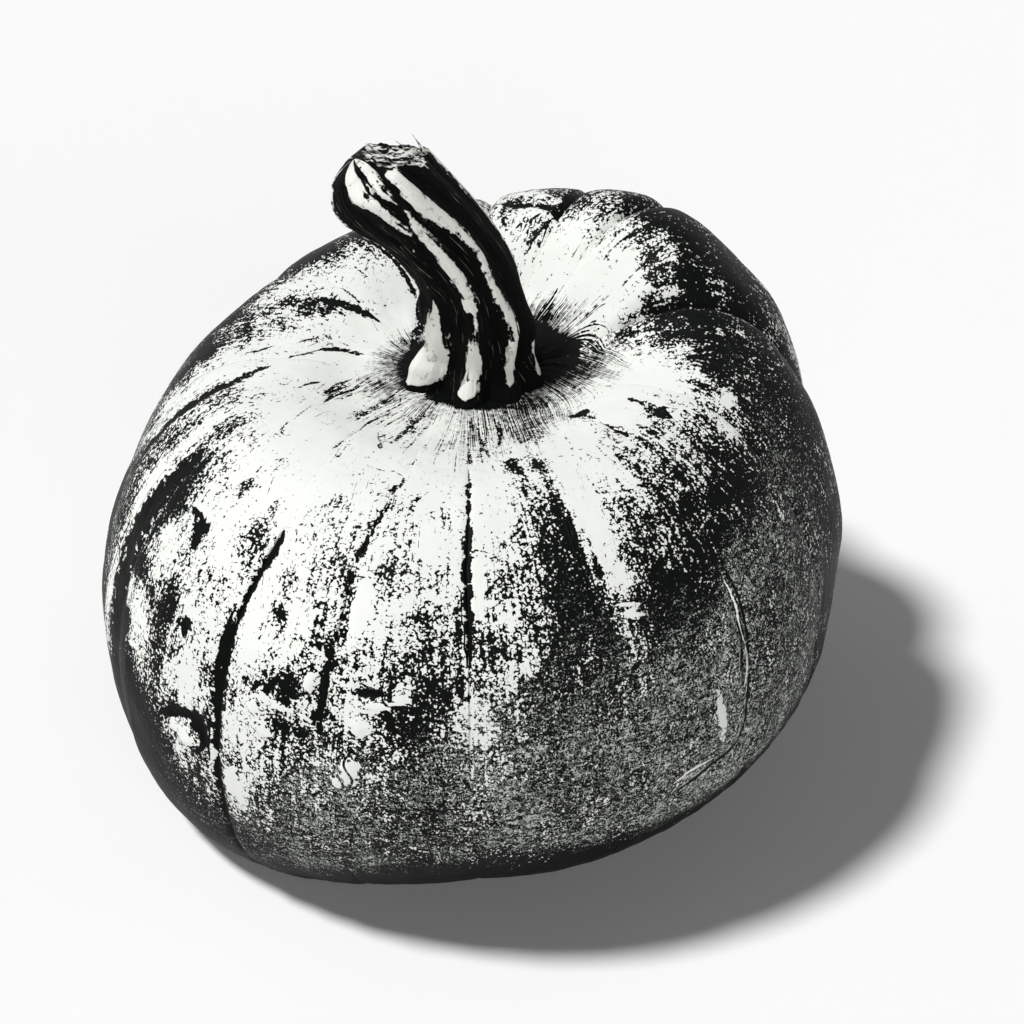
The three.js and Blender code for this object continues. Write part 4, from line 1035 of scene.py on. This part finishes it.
class Nodes:
    """The node tree of a material or world, with short calls for the nodes that it is built from."""

    def __init__(self, owner):
        self.owner = owner
        owner.use_nodes = True
        self.tree = owner.node_tree
        self.tree.nodes.clear()

    def feed(self, socket, value):
        """Links a socket to another node's, or sets it to a value."""
        if isinstance(value, bpy.types.NodeSocket):
            self.tree.links.new(value, socket)
        else:
            socket.default_value = value

    def add(self, kind, inputs=None, **settings):
        node = self.tree.nodes.new(kind)
        for key, value in settings.items():
            setattr(node, key, value)
        for key, value in (inputs or {}).items():
            self.feed(node.inputs[key], value)
        return node

    def place(self):
        """Coordinates in metres that stay with the object."""
        return self.add("ShaderNodeTexCoord").outputs["Object"]

    def attribute(self, name, part="Fac"):
        return self.add("ShaderNodeAttribute", attribute_name=name).outputs[part]

    def stretch(self, vector, scale):
        """Coordinates, or a vector attribute by its name, scaled along each axis."""
        if isinstance(vector, str):
            vector = self.attribute(vector, "Vector")
        return self.add("ShaderNodeMapping", {"Vector": vector, "Scale": scale}).outputs[0]

    def split(self, name):
        """The three parts of a vector attribute."""
        return self.add("ShaderNodeSeparateXYZ", {"Vector": self.attribute(name, "Vector")}).outputs[:]

    def math(self, operation, *values):
        return self.add("ShaderNodeMath", dict(enumerate(values)), operation=operation).outputs[0]

    def opposite(self, value):
        return self.math("SUBTRACT", 1.0, value)

    def bring(self, level, share, tone):
        """The level, brought that share of the way to a tone."""
        return self.math("MULTIPLY_ADD", share, self.math("SUBTRACT", tone, level), level)

    def total(self, first, *others):
        for value in others:
            first = self.math("ADD", first, value)
        return first

    def noise(self, vector, scale, spread, detail=0, roughness=0.5):
        """Noise about zero, with that standard deviation."""
        weights = roughness ** np.arange(detail + 1)
        usual = NOISE_SPREAD * math.sqrt((weights**2).sum()) / weights.sum()
        inputs = {"Vector": vector, "Scale": scale, "Detail": detail, "Roughness": roughness}
        value = self.add("ShaderNodeTexNoise", inputs).outputs["Fac"]
        return self.math("MULTIPLY_ADD", value, spread / usual, -0.5 * spread / usual)

    def cells(self, vector, scale, spread):
        """Rounded cells about zero, with that standard deviation: low inside them, high between."""
        inputs = {"Vector": vector, "Scale": scale}
        value = self.add("ShaderNodeTexVoronoi", inputs).outputs["Distance"]
        return self.math("MULTIPLY_ADD", value, spread / CELL_SPREAD, -CELL_MEAN * spread / CELL_SPREAD)

    def step(self, value, span):
        """0 below the span, 1 above it, and smooth between."""
        inputs = {"Value": value, "From Min": span[0], "From Max": span[1]}
        return self.add("ShaderNodeMapRange", inputs, interpolation_type="SMOOTHSTEP").outputs[0]

    def mix(self, share, a, b):
        """A blend of two colours, each another node's or in sRGB values."""
        node = self.add("ShaderNodeMix", data_type="RGBA")
        self.feed(node.inputs[0], share)
        for socket, colour in zip(node.inputs[6:8], (a, b)):  # the inputs for colours
            self.feed(socket, linear(colour) if isinstance(colour, tuple) else colour)
        return node.outputs[2]

    def seen(self):
        """1 where the camera, a reflection or a transmission looks, and 0 for light that bounces."""
        path = self.add("ShaderNodeLightPath")
        shiny = self.math("MAXIMUM", path.outputs["Is Glossy Ray"], path.outputs["Is Transmission Ray"])
        return self.math("MAXIMUM", path.outputs["Is Camera Ray"], shiny)

    def surface(self, output, shader):
        self.add(output, {"Surface": shader.outputs[0]})
        return self.owner

    def finish(self, colour, roughness, height, bump_mm):
        bump = self.add("ShaderNodeBump", {"Height": height, "Distance": bump_mm * MM, "Strength": 1.0})
        shader = self.add("ShaderNodeBsdfPrincipled", {
            "Base Color": colour, "Roughness": roughness, "Specular IOR Level": SPECULAR,
            "Normal": bump.outputs[0],
        })
        return self.surface("ShaderNodeOutputMaterial", shader)


def rind_material():
    n = Nodes(bpy.data.materials.new("rind"))
    place = n.place()
    # The mottling, which carries painted light: paler on the lit front-left, darker on the shaded right and
    # underneath.
    level = n.total(
        n.attribute("mottle_and_shade"), n.cells(place, *MOTTLE_CELLS), *(n.noise(place, *layer) for layer in MOTTLES),
        n.noise(n.stretch("flow", STREAK_SCALE), *STREAKS),
    )

    # Lines, hollows and warts, each with a ragged edge, laid over one another.
    ragged = n.noise(place, *SPOT_RAGGED)

    def line(name, raggedness):
        offset, width, tone = n.split(name)
        edge = n.math("MULTIPLY", width, n.math("ADD", n.noise(place, *raggedness), 1.0))
        edge = n.math("SUBTRACT", edge, n.math("ABSOLUTE", offset))
        return n.step(edge, LINE_EDGE), tone

    def spot(name):
        u, v, kind = n.split(name)
        reach = n.math("SQRT", n.total(n.math("MULTIPLY", u, u), n.math("MULTIPLY", v, v)))
        inside = n.opposite(n.step(n.total(reach, ragged), SPOT_RIM))
        return u, v, kind, reach, n.math("MULTIPLY", inside, n.math("GREATER_THAN", kind, PLAIN_SPOT / 2))

    stroke, tone = line("stroke", STROKE_RAGGED)
    level = n.math("MULTIPLY_ADD", stroke, tone, level)
    # Pale lines, some of them the painted highlight of a raised scar.
    level = n.bring(level, n.math("MULTIPLY", *line("pale_line_highlight", PALE_LINE_RAGGED)), PALE_LINE_HIGHLIGHT_TONE)
    hollow = spot("hollow")[-1]
    level = n.math("MULTIPLY_ADD", hollow, HOLLOW_TONE, level)
    u, v, kind, reach, wart = spot("wart")
    level = n.bring(level, wart, WART_TONE)
    # The curled wart: a line round its rim and one that curls across it.
    swing = n.math("MULTIPLY", n.math("SINE", n.math("MULTIPLY", v, CURL_TURN)), CURL_SWING)
    curl = n.math("ABSOLUTE", n.math("SUBTRACT", u, swing))
    rim = n.math("ABSOLUTE", n.math("SUBTRACT", n.total(reach, ragged), 1.0))
    curls = n.opposite(n.step(n.math("MINIMUM", curl, rim), CURL_WIDTH))
    curls = n.math("MULTIPLY", curls, n.math("LESS_THAN", reach, CURL_END))
    curls = n.math("MULTIPLY", curls, n.math("GREATER_THAN", kind, (PLAIN_SPOT + CURLED_SPOT) / 2))
    level = n.math("MULTIPLY_ADD", curls, CURL_TONE, level)
    dark = n.step(level, INK_EDGE)

    # Painted shade round the stem: a dark ring at its foot, wider where the stem's shadow falls, and fine
    # lines over the pit's slope.
    pit_shaded = n.step(n.total(
        n.attribute("pit_shade"), n.noise(n.stretch("fan", FAN_SCALE), *FAN),
        *(n.noise(place, *layer) for layer in HATCH_BREAKS),
    ), HATCH_EDGE)

    # Grey flecks, which show where the rind is dark away from its lines and hollows.
    flecks = n.step(n.total(
        n.attribute("flecks"), n.noise(place, *FLECK_GRAIN), n.cells(place, *FLECK_CELLS),
        n.noise(n.stretch("flow", FLECK_ROWS_SCALE), *FLECK_ROWS),
        n.noise(place, *FLECK_PATCHES),
    ), FLECK_EDGE)
    flecks = n.math("MULTIPLY", flecks, n.opposite(n.math("MAXIMUM", stroke, hollow)))
    fleck = n.mix(n.step(n.noise(place, *FLECK_SHADES), FLECK_SHADE_EDGE), FLECK_RIND, BRIGHT_FLECK)

    shade = n.step(n.noise(place, *PALE_SHADES), PALE_SHADE_EDGE)
    ground = n.mix(pit_shaded, n.mix(shade, PALE_RIND, SHADED_RIND), DARK_RIND)
    colour = n.mix(dark, ground, n.mix(flecks, DARK_RIND, fleck))
    roughness = n.math("MULTIPLY_ADD", dark, DARK_SMOOTHER, RIND_ROUGHNESS)
    height = n.total(
        n.math("MULTIPLY", dark, DARK_BUMP), n.math("MULTIPLY", pit_shaded, HATCH_BUMP),
        n.math("MULTIPLY", flecks, FLECK_BUMP), n.noise(place, *GRAIN_BUMP),
    )
    return n.finish(colour, roughness, height, RIND_BUMP)


def stem_material():
    n = Nodes(bpy.data.materials.new("stem_skin"))
    lined = n.stretch("lined", LINED_SCALE)
    place = n.place()
    corky = n.step(
        n.total(n.attribute("cork"), n.noise(place, *CORK_BREAKS), n.noise(lined, *CORK_LINES)), CORK_FADE
    )
    streaks = n.math("MULTIPLY", n.step(n.noise(lined, *STEM_STREAKS), STEM_STREAK_EDGE), STEM_STREAK_SHARE)
    stains = n.math("MULTIPLY", n.step(n.noise(place, *CORK_STAINS), CORK_STAIN_EDGE), CORK_STAIN_SHARE)
    bark = n.mix(streaks, DARK_STEM, STREAK_STEM)
    colour = n.mix(corky, bark, n.mix(stains, CORK, STREAK_STEM))
    torn = n.step(n.noise(n.stretch(place, TORN_SCALE), *TORN_WOOD), TORN_EDGE)
    colour = n.mix(n.step(n.attribute("cut"), CUT_EDGE), colour, n.mix(torn, DARK_STEM, CUT_WOOD))
    roughness = n.math("MULTIPLY_ADD", corky, CORK_ROUGHER, STEM_ROUGHNESS)
    height = n.total(
        n.math("MULTIPLY", corky, CORK_BUMP), n.noise(lined, *LINE_BUMP), n.noise(place, *BARK_BUMP),
    )
    return n.finish(colour, roughness, height, STEM_BUMP)


def floor_material():
    """White for the camera and for reflections, with the shadow of the object on it."""
    n = Nodes(bpy.data.materials.new("floor"))
    diffuse = n.add("ShaderNodeBsdfDiffuse", {"Color": FLOOR_WHITE})
    strength = n.math("MULTIPLY", n.seen(), FLOOR_GLOW)
    glow = n.add("ShaderNodeEmission", {"Color": WHITE, "Strength": strength})
    both = n.add("ShaderNodeAddShader", {0: diffuse.outputs[0], 1: glow.outputs[0]})
    return n.surface("ShaderNodeOutputMaterial", both)


# ---- Pieces ----

FLOOR_REACH = 8000
FLOOR_DEPTH = 0.05  # how far the floor lies below the flat spot

# The CAD part is moved so that its box stands centred on the origin: the same shift is found here
# by laying the formula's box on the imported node's box.
low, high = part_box("fruit")
plain = skin(rib_azimuths()[None, :], np.linspace(0, 1, FRUIT_ROWS)[:, None]).reshape(-1, 3)
shift = np.array([*(low + high)]) / (2 * MM) - (plain.min(0) + plain.max(0)) / 2
shift[2] = 0

fruit_rings, fruit_values = make_fruit()
top, bottom = (skin(0, at) for at in (0, 1))
fruit = make_closed_piece(
    "rind", fruit_rings + shift, top + shift, bottom + shift, fruit_values, rind_material()
)

stem_skin = stem_material()
stem_rings, cut_middle, foot_middle, stem_values = make_stem()
stem = make_closed_piece(
    "stem_skin", stem_rings + shift, cut_middle + shift, foot_middle + shift, stem_values, stem_skin
)
fibres = make_fibres(shift, stem_skin)

corners = [(x * FLOOR_REACH, y * FLOOR_REACH, 0) for x, y in ((-1, -1), (1, -1), (1, 1), (-1, 1))]
floor = make_piece("floor", corners, [(0, 1, 2, 3)], floor_material())
floor.location.z = -FLOOR_DEPTH * MM

for piece, slot, node in (
    (fruit, "rind", "fruit"), (stem, "stem_skin", "stem"), (fibres, "stem_skin", "stem")
):
    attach(piece, "root")
    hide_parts(node)

# ---- Light, camera ----

# name, azimuth and elevation that it shines from, strength, and its disc's width in degrees
SUNS = [("key", (186, 63), 2.85, 9), ("fill", (-74, 8), 1.0, 60)]
SKY_STRENGTH = 0.07


def towards(azimuth, elevation):
    a, e = math.radians(azimuth), math.radians(elevation)
    return Vector((math.cos(a) * math.cos(e), math.sin(a) * math.cos(e), math.sin(e)))


def turned_from(view):
    """The rotation of a light or camera that stands in that direction and looks back."""
    return view.to_track_quat("Z", "Y").to_euler()


for name, place, strength, width in SUNS:
    sun = in_scene(name, bpy.data.lights.new(name, "SUN"))
    sun.data.energy = strength
    sun.data.angle = math.radians(width)
    sun.rotation_euler = turned_from(towards(*place))

# The sky is white where it is seen and gives only a little light.
sky = Nodes(bpy.data.worlds.new("studio"))
brightness = sky.add("ShaderNodeMapRange", {"Value": sky.seen(), "To Min": SKY_STRENGTH, "To Max": 1.0})
background = sky.add("ShaderNodeBackground", {"Color": WHITE, "Strength": brightness.outputs[0]})
bpy.context.scene.world = sky.surface("ShaderNodeOutputWorld", background)

CAMERA_DISTANCE = 592
CAMERA_ELEVATION = 38
CAMERA_TARGET = (0, 0, 52)
CAMERA_AIM = (9.8, 7.8)  # how far to the right of and above the target the camera aims
CAMERA_LENS = 85

view = towards(-90, CAMERA_ELEVATION)
right = Vector((1, 0, 0))
up = view.cross(right)
target = Vector(CAMERA_TARGET) * MM
aim = (right * CAMERA_AIM[0] + up * CAMERA_AIM[1]) * MM
camera = in_scene("camera", bpy.data.cameras.new("camera"))
camera.data.lens = CAMERA_LENS
camera.location = target + view * CAMERA_DISTANCE * MM + aim
camera.rotation_euler = turned_from(view)
bpy.context.scene.camera = camera
bpy.context.scene.view_settings.view_transform = "Standard"
